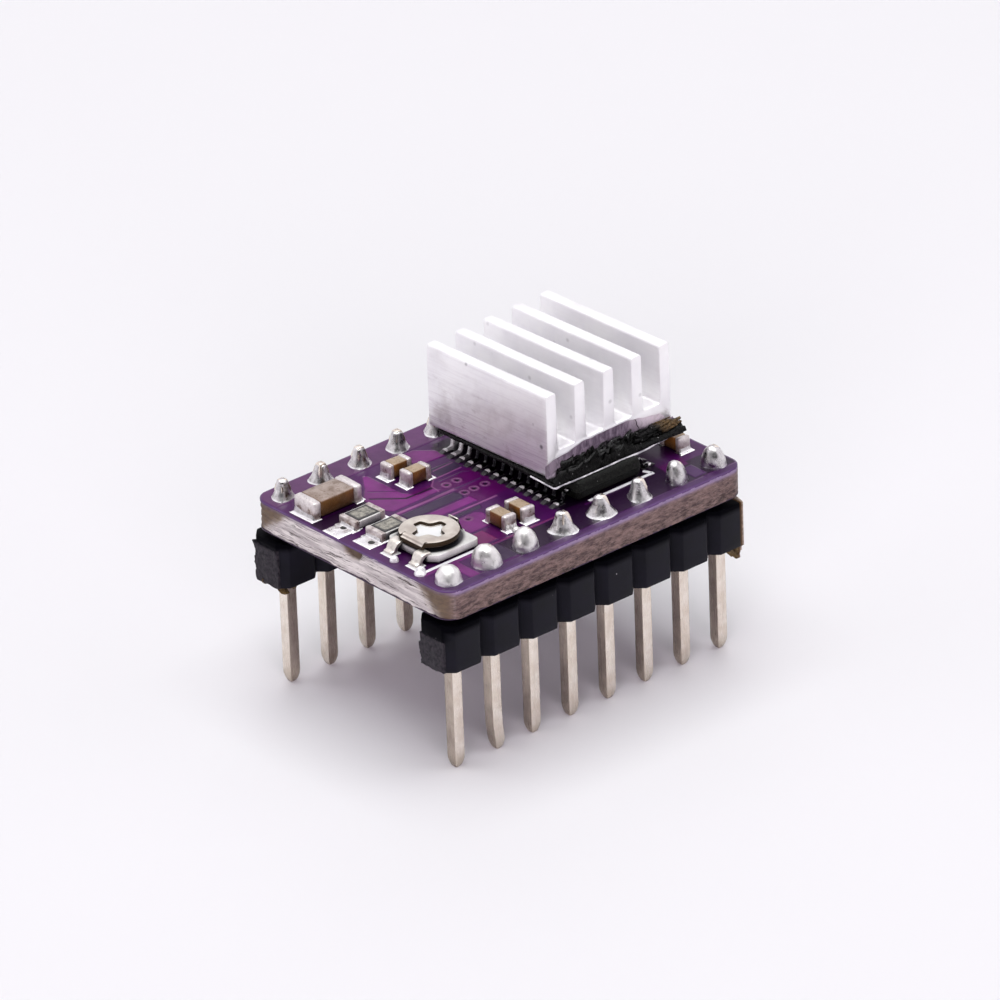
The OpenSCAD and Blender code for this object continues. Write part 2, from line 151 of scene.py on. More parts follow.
def inset(outline, distance):
    """A closed counter-clockwise outline moved inwards by distance."""
    points = []
    count = len(outline)
    for i in range(count):
        here = Vector(outline[i])
        before = (here - Vector(outline[i - 1])).normalized()
        after = (Vector(outline[(i + 1) % count]) - here).normalized()
        normal = Vector((-before.y - after.y, before.x + after.x))
        if normal.length < 1e-6:
            normal = Vector((-before.y, before.x))
        normal.normalize()
        share = max(0.5, normal.dot(Vector((-before.y, before.x))))
        points.append(here + normal * (distance / share))
    return points


def prism(outline, low, high, soft=0.05, layers=1):
    """Closed prism over a counter-clockwise outline, its two rims rounded off."""
    levels = [(low, soft), (low + 0.3 * soft, 0.3 * soft), (low + soft, 0)]
    for i in range(1, layers):
        levels.append((low + soft + (high - low - 2 * soft) * i / layers, 0))
    levels += [(high - soft, 0), (high - 0.3 * soft, 0.3 * soft), (high, soft)]
    rings = []
    for z, reach in levels:
        ring = inset(outline, reach) if reach else outline
        rings.append([Vector((p[0], p[1], z)) for p in ring])
    return loft(rings)


def soft_block(low, high, radius, inner=4):
    """Box with rounded edges and a grid over each side, so that it can be shaped further."""
    low, high = Vector(low), Vector(high)
    axes = []
    for a in range(3):
        edge = [0, 0.3 * radius, 0.65 * radius, radius]
        middle = np.linspace(low[a] + radius, high[a] - radius, inner + 1)[1:-1]
        axes.append([low[a] + e for e in edge] + list(middle) + [high[a] - e for e in reversed(edge)])
    sizes = [len(axis) for axis in axes]
    index = {}
    points = []

    def corner(key):
        if key not in index:
            p = Vector([axes[a][key[a]] for a in range(3)])
            core = Vector([min(max(p[a], low[a] + radius), high[a] - radius) for a in range(3)])
            reach = p - core
            index[key] = len(points)
            points.append(core + reach.normalized() * radius if reach.length > 1e-9 else p)
        return index[key]

    faces = []
    for a in range(3):
        b, c = (a + 1) % 3, (a + 2) % 3
        for end in (0, sizes[a] - 1):
            for i in range(sizes[b] - 1):
                for j in range(sizes[c] - 1):
                    keys = []
                    for di, dj in ((0, 0), (1, 0), (1, 1), (0, 1)):
                        key = [0, 0, 0]
                        key[a], key[b], key[c] = end, i + di, j + dj
                        keys.append(tuple(key))
                    if end == 0:
                        keys.reverse()
                    faces.append(tuple(corner(key) for key in keys))
    return points, faces


def lathe(profile, centre, sides=24, shape=None):
    """Turned solid from (radius, height) pairs, bottom first; shape(angle, share, point) may move it."""
    rings = []
    for step, (radius, height) in enumerate(profile):
        ring = []
        for i in range(sides):
            angle = 2 * math.pi * i / sides
            p = Vector((radius * math.cos(angle), radius * math.sin(angle), height))
            if shape:
                p = shape(angle, step / (len(profile) - 1), p)
            ring.append(p + Vector(centre))
        rings.append(ring)
    return loft(rings)


def closed_grid(points, nx, ny, base):
    """A grid of (nx + 1) x (ny + 1) points made solid: walls from its border down to base, and a floor."""
    faces = grid_faces(nx, ny)
    rim = grid_rim(nx, ny)
    start = len(points)
    for k, i in enumerate(rim):
        n = (k + 1) % len(rim)
        faces.append((i, start + k, start + n, rim[n]))
    faces.append(tuple(start + k for k in reversed(range(len(rim)))))
    return points + [Vector((points[i].x, points[i].y, base)) for i in rim], faces


def grid_faces(nx, ny):
    """Faces of a grid of points that run row by row."""
    corners = [j * (nx + 1) + i for j in range(ny) for i in range(nx)]
    return [(a, a + 1, a + nx + 2, a + nx + 1) for a in corners]


def grid_rim(nx, ny):
    """Numbers of a grid's border points, counter-clockwise."""
    rim = list(range(nx))
    rim += [j * (nx + 1) + nx for j in range(ny)]
    rim += [ny * (nx + 1) + nx - i for i in range(nx)]
    rim += [(ny - j) * (nx + 1) for j in range(ny)]
    return rim


def lump(low, high, cells, height, base):
    """Closed lump over a rectangle whose top follows height(x, y), in millimetres above base."""
    nx, ny = cells
    points = []
    for j in range(ny + 1):
        for i in range(nx + 1):
            x = low[0] + (high[0] - low[0]) * i / nx
            y = low[1] + (high[1] - low[1]) * j / ny
            points.append(Vector((x, y, base + max(0.0, height(x, y)))))
    return closed_grid(points, nx, ny, base - 0.03)


def wobble(p, per_mm, amount, seed=0.0):
    """Smooth pseudo-random offset for a point."""
    q = Vector(p) * per_mm + Vector((seed, seed * 1.7, -seed))
    return noise.noise_vector(q) * amount


def smooth_step(low, high, value):
    t = min(max((value - low) / (high - low), 0.0), 1.0)
    return t * t * (3 - 2 * t)


def turned(p, degrees, centre):
    """p turned about an upright axis through centre."""
    q = Vector(p) - Vector(centre)
    q.rotate(Quaternion(UP, math.radians(degrees)))
    return q + Vector(centre)


def add_piece(name, solid, paint, stands_for=(), body="module", sharp=35, values=None):
    """Makes one visible object from a solid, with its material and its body."""
    points, faces = (solid.points, solid.faces) if isinstance(solid, Shape) else solid
    mesh = bpy.data.meshes.new(name)
    mesh.from_pydata([tuple(Vector(p) * MM) for p in points], [], faces)
    work = bmesh.new()
    work.from_mesh(mesh)
    bmesh.ops.recalc_face_normals(work, faces=work.faces)
    work.to_mesh(mesh)
    work.free()
    mesh.shade_smooth()
    mesh.set_sharp_from_angle(angle=math.radians(sharp))
    for label, numbers in (values or {}).items():
        layer = mesh.attributes.new(label, "FLOAT", "POINT")
        layer.data.foreach_set("value", np.asarray(numbers, np.float32))
    mesh.materials.append(paint)
    obj = bpy.data.objects.new(name, mesh)
    bpy.context.scene.collection.objects.link(obj)
    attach(obj, body)
    if stands_for:
        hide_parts(*stands_for)
    return obj


# ---- materials ----

CHIP_MIDDLE = (CHIP_LOW + CHIP_HIGH) / 2


class Paint:
    """One procedural material, with short names for the nodes used here."""

    def __init__(self, name, colour, roughness, metal=0.0):
        self.material = bpy.data.materials.new(name)
        self.material.use_nodes = True
        self.tree = self.material.node_tree
        self.shader = self.tree.nodes["Principled BSDF"]
        self.place = self.node("ShaderNodeTexCoord").outputs["Object"]
        self.set("Base Color", (*colour, 1))
        self.set("Roughness", roughness)
        self.set("Metallic", metal)
        self.material.diffuse_color = (*colour, 1)

    def node(self, kind, **settings):
        made = self.tree.nodes.new(kind)
        for key, value in settings.items():
            setattr(made, key, value)
        return made

    def put(self, socket, value):
        if isinstance(value, bpy.types.NodeSocket):
            self.tree.links.new(value, socket)
        else:
            socket.default_value = value

    def set(self, name, value):
        self.put(self.shader.inputs[name], value)

    def stretched(self, scale):
        made = self.node("ShaderNodeMapping")
        self.put(made.inputs["Vector"], self.place)
        made.inputs["Scale"].default_value = scale
        return made.outputs["Vector"]

    def noise(self, per_mm, detail=4.0, rough=0.55, stretch=(1, 1, 1), distortion=0.0):
        made = self.node("ShaderNodeTexNoise")
        self.put(made.inputs["Vector"], self.stretched(stretch))
        made.inputs["Scale"].default_value = per_mm / MM
        made.inputs["Detail"].default_value = detail
        made.inputs["Roughness"].default_value = rough
        made.inputs["Distortion"].default_value = distortion
        return made.outputs["Fac"]

    def cells(self, per_mm, stretch=(1, 1, 1)):
        made = self.node("ShaderNodeTexVoronoi")
        self.put(made.inputs["Vector"], self.stretched(stretch))
        made.inputs["Scale"].default_value = per_mm / MM
        return made.outputs["Distance"]

    def component(self, vector, axis):
        split = self.node("ShaderNodeSeparateXYZ")
        self.put(split.inputs[0], vector)
        return split.outputs[axis]

    def part(self, axis):
        """One coordinate of the row frame, in millimetres."""
        return self.times(self.component(self.place, axis), 1 / MM)

    def normal(self, axis):
        """One component of the direction that the surface faces."""
        return self.component(self.node("ShaderNodeNewGeometry").outputs["Normal"], axis)

    def facing(self, axis, low, high, to_low=0.0, to_high=1.0):
        """How squarely the surface looks along one axis, either way."""
        return self.range(self.math("ABSOLUTE", self.normal(axis)), low, high, to_low, to_high)

    def value(self, label):
        return self.node("ShaderNodeAttribute", attribute_name=label).outputs["Fac"]

    def math(self, operation, a, b=0.0):
        made = self.node("ShaderNodeMath", operation=operation)
        self.put(made.inputs[0], a)
        self.put(made.inputs[1], b)
        return made.outputs[0]

    def plus(self, a, b):
        return self.math("ADD", a, b)

    def minus(self, a, b):
        return self.math("SUBTRACT", a, b)

    def times(self, a, b):
        return self.math("MULTIPLY", a, b)

    def most(self, a, b):
        return self.math("MAXIMUM", a, b)

    def range(self, value, low, high, to_low=0.0, to_high=1.0):
        made = self.node("ShaderNodeMapRange")
        self.put(made.inputs["Value"], value)
        limits = {"From Min": low, "From Max": high, "To Min": to_low, "To Max": to_high}
        for key, number in limits.items():
            made.inputs[key].default_value = number
        return made.outputs["Result"]

    def mix(self, share, a, b):
        """Blend of two colours; sockets 0, 6 and 7 of a Mix node are its share and its two colours."""
        made = self.node("ShaderNodeMix", data_type="RGBA")
        self.put(made.inputs[0], share)
        self.put(made.inputs[6], (*a, 1) if isinstance(a, tuple) else a)
        self.put(made.inputs[7], (*b, 1) if isinstance(b, tuple) else b)
        return made.outputs[2]

    def blend(self, pattern, low, high, a, b):
        """Two colours that take turns as a pattern passes from low to high."""
        return self.mix(self.range(pattern, low, high), a, b)

    def rough(self, pattern, smooth, coarse):
        """Roughness that follows the middle of a pattern's range."""
        self.set("Roughness", self.range(pattern, 0.3, 0.7, smooth, coarse))

    def hollow(self, reach_mm, strength):
        """Share of painted shade, from ambient occlusion, that gathers in corners and under ledges."""
        made = self.node("ShaderNodeAmbientOcclusion", samples=4)
        made.inputs["Distance"].default_value = reach_mm * MM
        return self.range(made.outputs["AO"], 0.25, 0.9, strength, 0.0)

    def bump(self, height, depth_mm, strength=1.0):
        made = self.node("ShaderNodeBump")
        self.put(made.inputs["Height"], height)
        made.inputs["Distance"].default_value = depth_mm * MM
        made.inputs["Strength"].default_value = strength
        self.set("Normal", made.outputs["Normal"])


def paint_mask():
    """Purple lacquer: its tone follows the copper underneath, glossy, with dust and fine ripples, and painted
    shade in corners and beside the parts on it.
    """
    p = Paint("lacquer", (0.1, 0.02, 0.12), 0.3)
    tone = p.node("ShaderNodeAttribute", attribute_name="tone").outputs["Color"]
    cloud = p.noise(0.7, 4)
    fine = p.noise(6, 5, 0.65)
    deep = p.mix(p.range(cloud, 0.3, 0.7, 0.45, 0.0), tone, (0.02, 0.001, 0.03))
    dusty = p.mix(p.range(fine, 0.62, 0.8, 0, 0.22), deep, (0.3, 0.16, 0.34))
    # painted shade: ambient occlusion darkens the lacquer to near black in corners and beside the parts
    p.set("Base Color", p.mix(p.hollow(1.2, 0.95), dusty, (0.004, 0.0, 0.006)))
    p.set("Roughness", p.range(fine, 0.3, 0.8, 0.27, 0.42))
    p.set("Specular IOR Level", 0.16)
    p.set("Coat Weight", 0.09)
    p.set("Coat Roughness", 0.06)
    p.bump(p.noise(2.2, 4), 0.012, 0.6)
    return p.material


def paint_laminate():
    """Glass fibre edge: pale with dark threads where it was snapped, brown where it was cut; a painted lilac
    highlight along its top and painted shade in its hollows.
    """
    p = Paint("laminate", (0.62, 0.55, 0.48), 0.75)
    thread = p.noise(1.3, 6, 0.7, (0.45, 0.45, 9), 0.4)
    weave = p.noise(0.9, 3, 0.5, (0.4, 0.4, 5))
    fleck = p.noise(4.5, 6, 0.75, (0.6, 0.6, 1.6))
    pale = p.blend(weave, 0.4, 0.6, (0.5, 0.46, 0.46), (0.78, 0.74, 0.72))
    lined = p.mix(p.range(thread, 0.54, 0.6, 0, 0.95), pale, (0.06, 0.045, 0.04))
    tan = p.blend(fleck, 0.38, 0.62, (0.07, 0.04, 0.02), (0.3, 0.21, 0.11))
    stain = p.value("stain")
    stained = p.blend(stain, 0.0, 1.0, lined, tan)
    body = p.mix(p.range(stain, 0.3, 1.0, 0.0, 0.75), stained, (0.12, 0.085, 0.065))
    grit = p.noise(4.2, 6, 0.8, (0.4, 0.4, 1.3))
    height = p.part(2)
    dark_grit = p.blend(height, BOARD_LOW + 0.1, TOP - 0.2, (0.028, 0.016, 0.015), (0.085, 0.052, 0.054))
    brown = p.blend(grit, 0.4, 0.62, dark_grit, (0.25, 0.165, 0.15))
    cut = p.mix(p.value("mauve"), body, brown)
    # painted highlight: lilac band along the top of the edge, under the lacquer's rounded rim
    lilac = p.mix(p.value("rim"), cut, (0.34, 0.25, 0.46))
    # painted shade: ambient occlusion darkens the edge in its hollows
    p.set("Base Color", p.mix(p.hollow(0.5, 0.7), lilac, (0.05, 0.03, 0.03)))
    p.rough(fleck, 0.55, 0.9)
    p.bump(p.plus(thread, p.times(fleck, 0.8)), 0.06, 0.9)
    return p.material


def paint_plastic():
    """Black header plastic, faintly blue, with grain and dust; tan where the front strip was snapped; painted
    shade in its hollows, along its top under the board and in the recess over the torn -X end.
    """
    p = Paint("header_black", (0.012, 0.012, 0.016), 0.5)
    grain = p.noise(14, 4, 0.6)
    cloud = p.noise(0.8, 3)
    dust = p.cells(1.1)
    body = p.blend(cloud, 0.3, 0.7, (0.0025, 0.0025, 0.005), (0.007, 0.0065, 0.012))
    dusty = p.mix(p.range(grain, 0.66, 0.78, 0, 0.25), body, (0.05, 0.05, 0.06))
    specks = p.mix(p.range(dust, 0.02, 0.05, 0.8, 0), dusty, (0.4, 0.4, 0.42))
    rough = p.noise(5, 5, 0.7)
    torn = p.blend(rough, 0.35, 0.65, (0.008, 0.007, 0.011), (0.04, 0.035, 0.042))
    fibres = p.blend(grain, 0.4, 0.6, (0.03, 0.018, 0.006), (0.16, 0.11, 0.045))
    scorched = p.mix(p.value("brown"), torn, fibres)
    # painted shade: the top of each strip turns black just under the board
    under_board = p.range(p.part(2), PLASTIC_HIGH.z - 0.5, PLASTIC_HIGH.z - 0.2)
    # painted shade: hollows, the strip's top and the recess over the torn end are blended to near black
    shaded = p.most(p.most(p.hollow(0.9, 0.85), under_board), p.value("deep"))
    whole = p.mix(shaded, p.mix(p.value("torn"), specks, scorched), (0.001, 0.001, 0.002))
    snap = PLASTIC_HIGH.x - STRIP_SHORT["front"]
    front = p.range(p.part(1), -1, -2)
    snapped = p.times(p.range(p.part(0), snap - 0.42, snap - 0.3), front)
    fresh = p.blend(p.part(0), snap - 0.3, snap - 0.14, (0.1, 0.05, 0.018), (0.6, 0.5, 0.42))
    crumbled = p.mix(p.range(rough, 0.4, 0.6, 0, 0.6), fresh, (0.05, 0.03, 0.02))
    p.set("Base Color", p.mix(snapped, whole, crumbled))
    p.rough(cloud, 0.45, 0.6)
    # painted shade also dulls the specular where the plastic is shaded
    p.set("Specular IOR Level", p.range(shaded, 0, 1, 0.15, 0.02))
    p.bump(grain, 0.01, 0.5)
    return p.material


def paint_pin():
    """Warm nickel plate, drawn lengthwise, browner at the tips; painted shade darkens the X-facing sides on
    the front row and the Y-facing sides on the rear row.
    """
    p = Paint("pin_plate", (0.72, 0.66, 0.58), 0.28, 0.88)
    drawn = p.noise(5, 5, 0.6, (1, 1, 0.08))
    cloud = p.noise(1.2, 3)
    body = p.blend(cloud, 0.35, 0.65, (0.72, 0.63, 0.54), (0.85, 0.78, 0.7))
    streaked = p.mix(p.range(drawn, 0.55, 0.75, 0, 0.4), body, (0.5, 0.43, 0.36))
    tip = p.range(p.part(2), PINS_LOW.z, PINS_LOW.z + 1.0, 0.55, 0.0)
    tipped = p.mix(tip, streaked, (0.4, 0.36, 0.27))
    # painted shade: darker brown on the sides that would mirror the shadowed floor under the board
    rear = p.range(p.part(1), -1.0, 1.0)
    across = p.times(p.facing(0, 0.5, 0.8), p.minus(1.0, rear))
    along = p.times(p.facing(1, 0.5, 0.8), rear)
    pin_side_shade = p.times(p.plus(across, along), p.range(cloud, 0.3, 0.7, 0.35, 0.75))
    p.set("Base Color", p.mix(pin_side_shade, tipped, (0.2, 0.14, 0.1)))
    p.rough(drawn, 0.2, 0.36)
    p.bump(drawn, 0.006, 0.5)
    return p.material


def paint_solder():
    """Hand-soldered tin: bright, frosted, streaked and pitted; milky on the front joints by the trimmer."""
    p = Paint("solder", (0.72, 0.72, 0.74), 0.22, 1.0)
    frost = p.noise(3.5, 5, 0.6)
    streak = p.noise(3, 5, 0.6, (1, 1, 0.25))
    pits = p.noise(9, 4, 0.6)
    body = p.blend(frost, 0.35, 0.65, (0.5, 0.48, 0.49), (0.82, 0.8, 0.8))
    dull = p.mix(p.range(streak, 0.52, 0.7, 0, 0.6), body, (0.3, 0.28, 0.27))
    pitted = p.mix(p.range(pits, 0.62, 0.74, 0, 0.6), dull, (0.2, 0.18, 0.19))
    flat = p.range(p.part(2), TOP + 0.12, TOP + 0.06)
    milky_x, milky_y = PIN_X[2] + 0.81, ROWS["front"] + 1.05
    beside_trimmer = p.range(p.part(0), milky_x, milky_x - 0.4)
    milky = p.times(beside_trimmer, p.range(p.part(1), milky_y, milky_y - 0.3, 0.0, 0.55))
    creamy = p.mix(milky, pitted, (0.95, 0.93, 0.91))
    p.set("Base Color", p.mix(flat, creamy, (0.93, 0.92, 0.93)))
    p.set("Roughness", p.plus(p.range(frost, 0.35, 0.7, 0.2, 0.48), p.times(milky, 0.12)))
    p.bump(p.plus(frost, streak), 0.03, 0.6)
    return p.material


def paint_tin(name, colour, roughness, metal=1.0):
    """Tin plated metal on straps and part ends."""
    p = Paint(name, colour, roughness, metal)
    cloud = p.noise(4, 4, 0.6)
    dark = tuple(c * 0.72 for c in colour)
    p.set("Base Color", p.blend(cloud, 0.35, 0.7, colour, dark))
    p.rough(cloud, roughness * 0.7, roughness * 1.4)
    p.bump(p.noise(9, 4), 0.01, 0.5)
    return p.material


def paint_end_cap():
    """Tinned end of a chip part: silvery above, warmer, duller and mottled lower down."""
    p = Paint("end_plate", (0.66, 0.61, 0.6), 0.34, 0.6)
    cloud = p.noise(1.8, 5, 0.65)
    grain = p.noise(8, 4, 0.6)
    high = p.blend(grain, 0.35, 0.7, (0.74, 0.7, 0.69), (0.55, 0.5, 0.5))
    warm = p.blend(cloud, 0.4, 0.6, (0.2, 0.14, 0.11), (0.52, 0.45, 0.42))
    height = p.plus(p.part(2), p.range(cloud, 0.3, 0.7, -0.25, 0.25))
    low = p.range(height, TOP + 0.75, TOP + 0.3, 0.0, 0.85)
    p.set("Base Color", p.mix(low, high, warm))
    p.rough(cloud, 0.22, 0.45)
    p.bump(p.plus(grain, cloud), 0.02, 0.5)
    return p.material


def paint_lead():
    """Lead plating with painted light: near black where it would mirror the dark chip and board, with painted
    highlights on the bend, at the toe and towards the open +Y end.
    """
    p = Paint("lead_plate", (0.2, 0.2, 0.21), 0.18, 1.0)
    cloud = p.noise(5, 4, 0.6)
    out = p.math("ABSOLUTE", p.minus(p.part(0), CHIP_MIDDLE.x))
    reach = (LEADS_HIGH.x - LEADS_LOW.x) / 2
    # painted highlights: the bend, the toe and the open +Y end are made pale
    above = p.range(p.part(2), SHOULDER + 0.045, SHOULDER + 0.07)
    bend = p.times(above, p.range(out, reach - 0.85, reach - 0.8))
    toe = p.range(out, reach - 0.2, reach - 0.14)
    open_end = p.range(p.part(1), LEADS_HIGH.y - 2.0, LEADS_HIGH.y - 0.9, 0.0, 0.6)
    lit = p.most(p.most(bend, toe), open_end)
    # painted reflection: the rest of the lead is near black, for the dark chip and heat sink it mirrors
    dark = p.blend(cloud, 0.55, 0.7, (0.012, 0.011, 0.014), (0.12, 0.12, 0.12))
    p.set("Base Color", p.mix(lit, dark, (0.93, 0.92, 0.93)))
    p.set("Metallic", p.range(lit, 0, 1, 1.0, 0.35))
    p.rough(cloud, 0.12, 0.3)
    p.bump(cloud, 0.01, 0.5)
    return p.material


def paint_mould():
    """Black epoxy of the chip with fine matte grain."""
    p = Paint("mould", (0.012, 0.012, 0.013), 0.5)
    grain = p.noise(16, 5, 0.65)
    dust = p.cells(2.2)
    body = p.blend(grain, 0.45, 0.75, (0.002, 0.002, 0.002), (0.022, 0.024, 0.02))
    p.set("Base Color", p.mix(p.range(dust, 0.03, 0.09, 0.5, 0), body, (0.3, 0.3, 0.28)))
    p.rough(grain, 0.25, 0.5)
    p.set("Specular IOR Level", 0.12)
    p.bump(grain, 0.03, 0.8)
    return p.material


def paint_tape(name, shine):
    """Torn black adhesive with painted glints, grey and purple where it is smeared thin, brown where it is
    frayed.
    """
    p = Paint(name, (0.02, 0.02, 0.02), 0.35)
    fibre = p.noise(2.6, 6, 0.65, (1.4, 1.4, 0.4), 0.6)
    fleck = p.noise(7, 5, 0.7)
    # painted glints: small pale cells on the thick black stand for glints off its folds
    glint = p.cells(3.2)
    black = p.blend(fleck, 0.55, 0.8, (0.0008, 0.0008, 0.0008), (0.022, 0.022, 0.02))
    thick = p.mix(p.range(glint, 0.04, 0.1, 0.8, 0), black, (0.5, 0.5, 0.5))
    thin = p.blend(fibre, 0.36, 0.64, (0.1, 0.075, 0.11), (0.3, 0.24, 0.31))
    pale = p.mix(p.value("pale"), thin, (0.78, 0.7, 0.77))
    body = p.mix(p.value("thin"), thick, pale)
    frayed = p.blend(fleck, 0.4, 0.6, (0.02, 0.012, 0.006), (0.2, 0.13, 0.06))
    p.set("Base Color", p.mix(p.value("frayed"), body, frayed))
    p.rough(fibre, 0.15, 0.4)
    p.set("Specular IOR Level", shine)
    p.bump(p.plus(fibre, fleck), 0.07, 1.0)
    return p.material


def paint_film():
    """Clear liner of the tape, seen edge-on as a bright line."""
    p = Paint("liner", (0.62, 0.62, 0.66), 0.25)
    cloud = p.noise(1.5, 4)
    p.set("Base Color", p.blend(cloud, 0.4, 0.6, (0.35, 0.35, 0.38), (0.85, 0.85, 0.88)))
    p.rough(cloud, 0.15, 0.35)
    p.bump(cloud, 0.02, 0.4)
    return p.material


def paint_sink():
    """Extruded aluminium: drawn lines along the fins, soft satin, scuffs and small dark nicks."""
    p = Paint("aluminium", (0.9, 0.9, 0.91), 0.34, 1.0)
    lines = p.noise(8, 6, 0.75, (1, 0.012, 1))
    deep = p.noise(4.5, 5, 0.7, (1, 0.02, 1.3))
    cloud = p.noise(0.5, 3)
    scuff = p.noise(2.0, 6, 0.7, (1, 0.5, 1.2))
    nick = p.cells(0.62)
    outer = p.range(p.part(0), SINK_LOW.x + 0.35, SINK_LOW.x + 0.45, 1.0, 0.25)
    side = p.times(p.facing(1, 0.5, 0.8, 1.0, 0.0), outer)
    body = p.blend(cloud, 0.35, 0.65, (0.9, 0.89, 0.91), (0.97, 0.965, 0.97))
    low = p.range(p.part(2), SINK_LOW.z + 3.4, SINK_LOW.z + 0.5, 0.25, 1.0)
    side = p.times(side, low)
    lined = p.times(p.range(deep, 0.48, 0.66, 0, 0.4), side)
    drawn = p.mix(lined, body, (0.42, 0.36, 0.42))
    thin = p.times(p.range(lines, 0.54, 0.64, 0, 0.4), side)
    bright = p.mix(thin, drawn, (0.45, 0.39, 0.45))
    scuffed = p.mix(p.times(p.range(scuff, 0.58, 0.7, 0, 0.5), side), bright, (0.36, 0.31, 0.32))
    smudge = p.times(p.range(p.noise(0.42, 5, 0.6), 0.5, 0.68, 0, 0.55), side)
    scuffed = p.mix(smudge, scuffed, (0.34, 0.28, 0.28))
    knocked = p.times(p.range(nick, 0.035, 0.1, 0.75, 0), p.range(outer, 0.25, 1.0, 0.35, 1.0))
    p.set("Base Color", p.mix(knocked, scuffed, (0.1, 0.08, 0.1)))
    p.rough(lines, 0.32, 0.5)
    p.set("Metallic", 0.76)
    p.set("Anisotropic", 0.3)
    p.bump(p.plus(lines, deep), 0.012, 0.5)
    return p.material


def paint_capacitor():
    """Tan ceramic with dark specks; painted light makes it paler on top and amber on the sides, and painted
    shade darkens the bulk capacitor's sides and each part towards the board.
    """
    p = Paint("capacitor_ceramic", (0.34, 0.2, 0.09), 0.3)
    speckle = p.noise(7, 5, 0.7)
    cloud = p.noise(1.6, 4)
    # painted light: faces turned up take the paler top colours, upright faces the darker amber
    top = p.range(p.normal(2), 0.3, 0.9)
    side = p.blend(cloud, 0.35, 0.65, (0.12, 0.04, 0.004), (0.32, 0.13, 0.02))
    small = p.blend(cloud, 0.35, 0.7, (0.46, 0.33, 0.2), (0.62, 0.48, 0.34))
    large = p.blend(cloud, 0.35, 0.65, (0.2, 0.135, 0.1), (0.45, 0.36, 0.32))
    past_bulk = p.range(p.part(0), BULK_SIDE - 0.25, BULK_SIDE + 0.25)
    cover = p.mix(past_bulk, large, small)
    # painted shade: the bulk capacitor's sides are darkened further
    bulk_side_shade = p.mix(p.range(past_bulk, 0, 1, 0.5, 0.0), side, (0.03, 0.018, 0.006))
    body = p.mix(top, bulk_side_shade, cover)
    # painted shade: darker towards the board
    low = p.range(p.part(2), TOP + 0.05, TOP + 1.0, 1.0, 0.0)
    shaded = p.mix(low, body, (0.03, 0.014, 0.005))
    p.set("Base Color", p.mix(p.range(speckle, 0.3, 0.55, 0.35, 0), shaded, (0.2, 0.13, 0.07)))
    p.rough(speckle, 0.22, 0.42)
    p.bump(speckle, 0.012, 0.6)
    return p.material


def paint_ceramic():
    """White fired ceramic with grime in the grain, painted shade in the corners and a painted shadow round
    the rotor.
    """
    p = Paint("white_ceramic", (0.82, 0.82, 0.8), 0.4)
    grain = p.noise(10, 4, 0.6)
    cloud = p.noise(1.8, 4)
    body = p.blend(cloud, 0.3, 0.7, (0.68, 0.67, 0.64), (0.86, 0.86, 0.85))
    dirt_and_shade = p.mix(p.range(grain, 0.58, 0.75, 0, 0.4), body, (0.45, 0.43, 0.4))
    square = [p.math("POWER", p.minus(p.part(a), JOINT_AT[a]), 2.0) for a in range(2)]
    away = p.math("SQRT", p.plus(square[0], square[1]))
    # painted shadow: a dark ring on the base's top round the rotor's rim
    by_rotor = p.range(away, ROTOR_RADIUS + 0.3, ROTOR_RADIUS + 0.1)
    rotor_rim_shadow = p.times(by_rotor, p.range(p.part(2), BASE_HIGH.z - 0.1, BASE_HIGH.z))
    # painted shade: ambient occlusion darkens the corners, over the grime in the grain
    p.set("Base Color", p.mix(p.most(p.hollow(0.9, 1.0), rotor_rim_shadow), dirt_and_shade, (0.004, 0.004, 0.007)))
    p.rough(grain, 0.32, 0.5)
    p.bump(grain, 0.008, 0.5)
    return p.material


def paint_glaze():
    """Overcoat of a resistor: dark round its border, mottled grey inside; its marking is left out."""
    p = Paint("resistor_overcoat", (0.08, 0.08, 0.08), 0.3)
    mottle = p.noise(5, 5, 0.7)
    inner = p.blend(mottle, 0.4, 0.62, (0.1, 0.095, 0.085), (0.4, 0.38, 0.32))
    p.set("Base Color", p.mix(p.value("border"), inner, (0.02, 0.018, 0.018)))
    p.rough(mottle, 0.25, 0.5)
    p.bump(mottle, 0.02, 0.6)
    return p.material


def paint_rotor():
    """Stamped cream-coloured plated metal, burnished on top; painted shade on its upright walls, under its
    plate, in its cup and in hollows, and a painted highlight on the floor of its slot.
    """
    p = Paint("rotor_plate", (0.75, 0.7, 0.63), 0.4, 0.35)
    cloud = p.noise(1.6, 4)
    scratch = p.noise(4, 6, 0.7, (1, 0.15, 1))
    upright = p.facing(2, 0.3, 0.75, 1.0, 0.0)
    body = p.blend(cloud, 0.35, 0.65, (0.5, 0.44, 0.39), (0.68, 0.63, 0.57))
    worn = p.mix(p.range(scratch, 0.6, 0.74, 0, 0.4), body, (0.36, 0.3, 0.25))
    # painted shade: upright faces, the walls of the plate and slot, are darkened
    walls = p.mix(upright, worn, (0.034, 0.023, 0.013))
    # painted shade: the plate's underside and its cup are made near black
    sunk = p.mix(p.value("cup_shade"), walls, (0.003, 0.003, 0.005))
    # painted shade: ambient occlusion darkens the hollows
    dirt_and_shade = p.mix(p.hollow(0.3, 0.75), sunk, (0.01, 0.007, 0.006))
    # painted highlight: the slot's floor is made near white and matte
    p.set("Base Color", p.mix(p.value("slot_highlight"), dirt_and_shade, (0.95, 0.95, 0.97)))
    matte = p.most(upright, p.value("slot_highlight"))
    p.set("Metallic", p.range(matte, 0, 1, 0.35, 0.0))
    p.set("Specular IOR Level", p.range(matte, 0, 1, 0.5, 0.1))
    p.rough(cloud, 0.3, 0.45)
    p.bump(scratch, 0.01, 0.4)
    return p.material


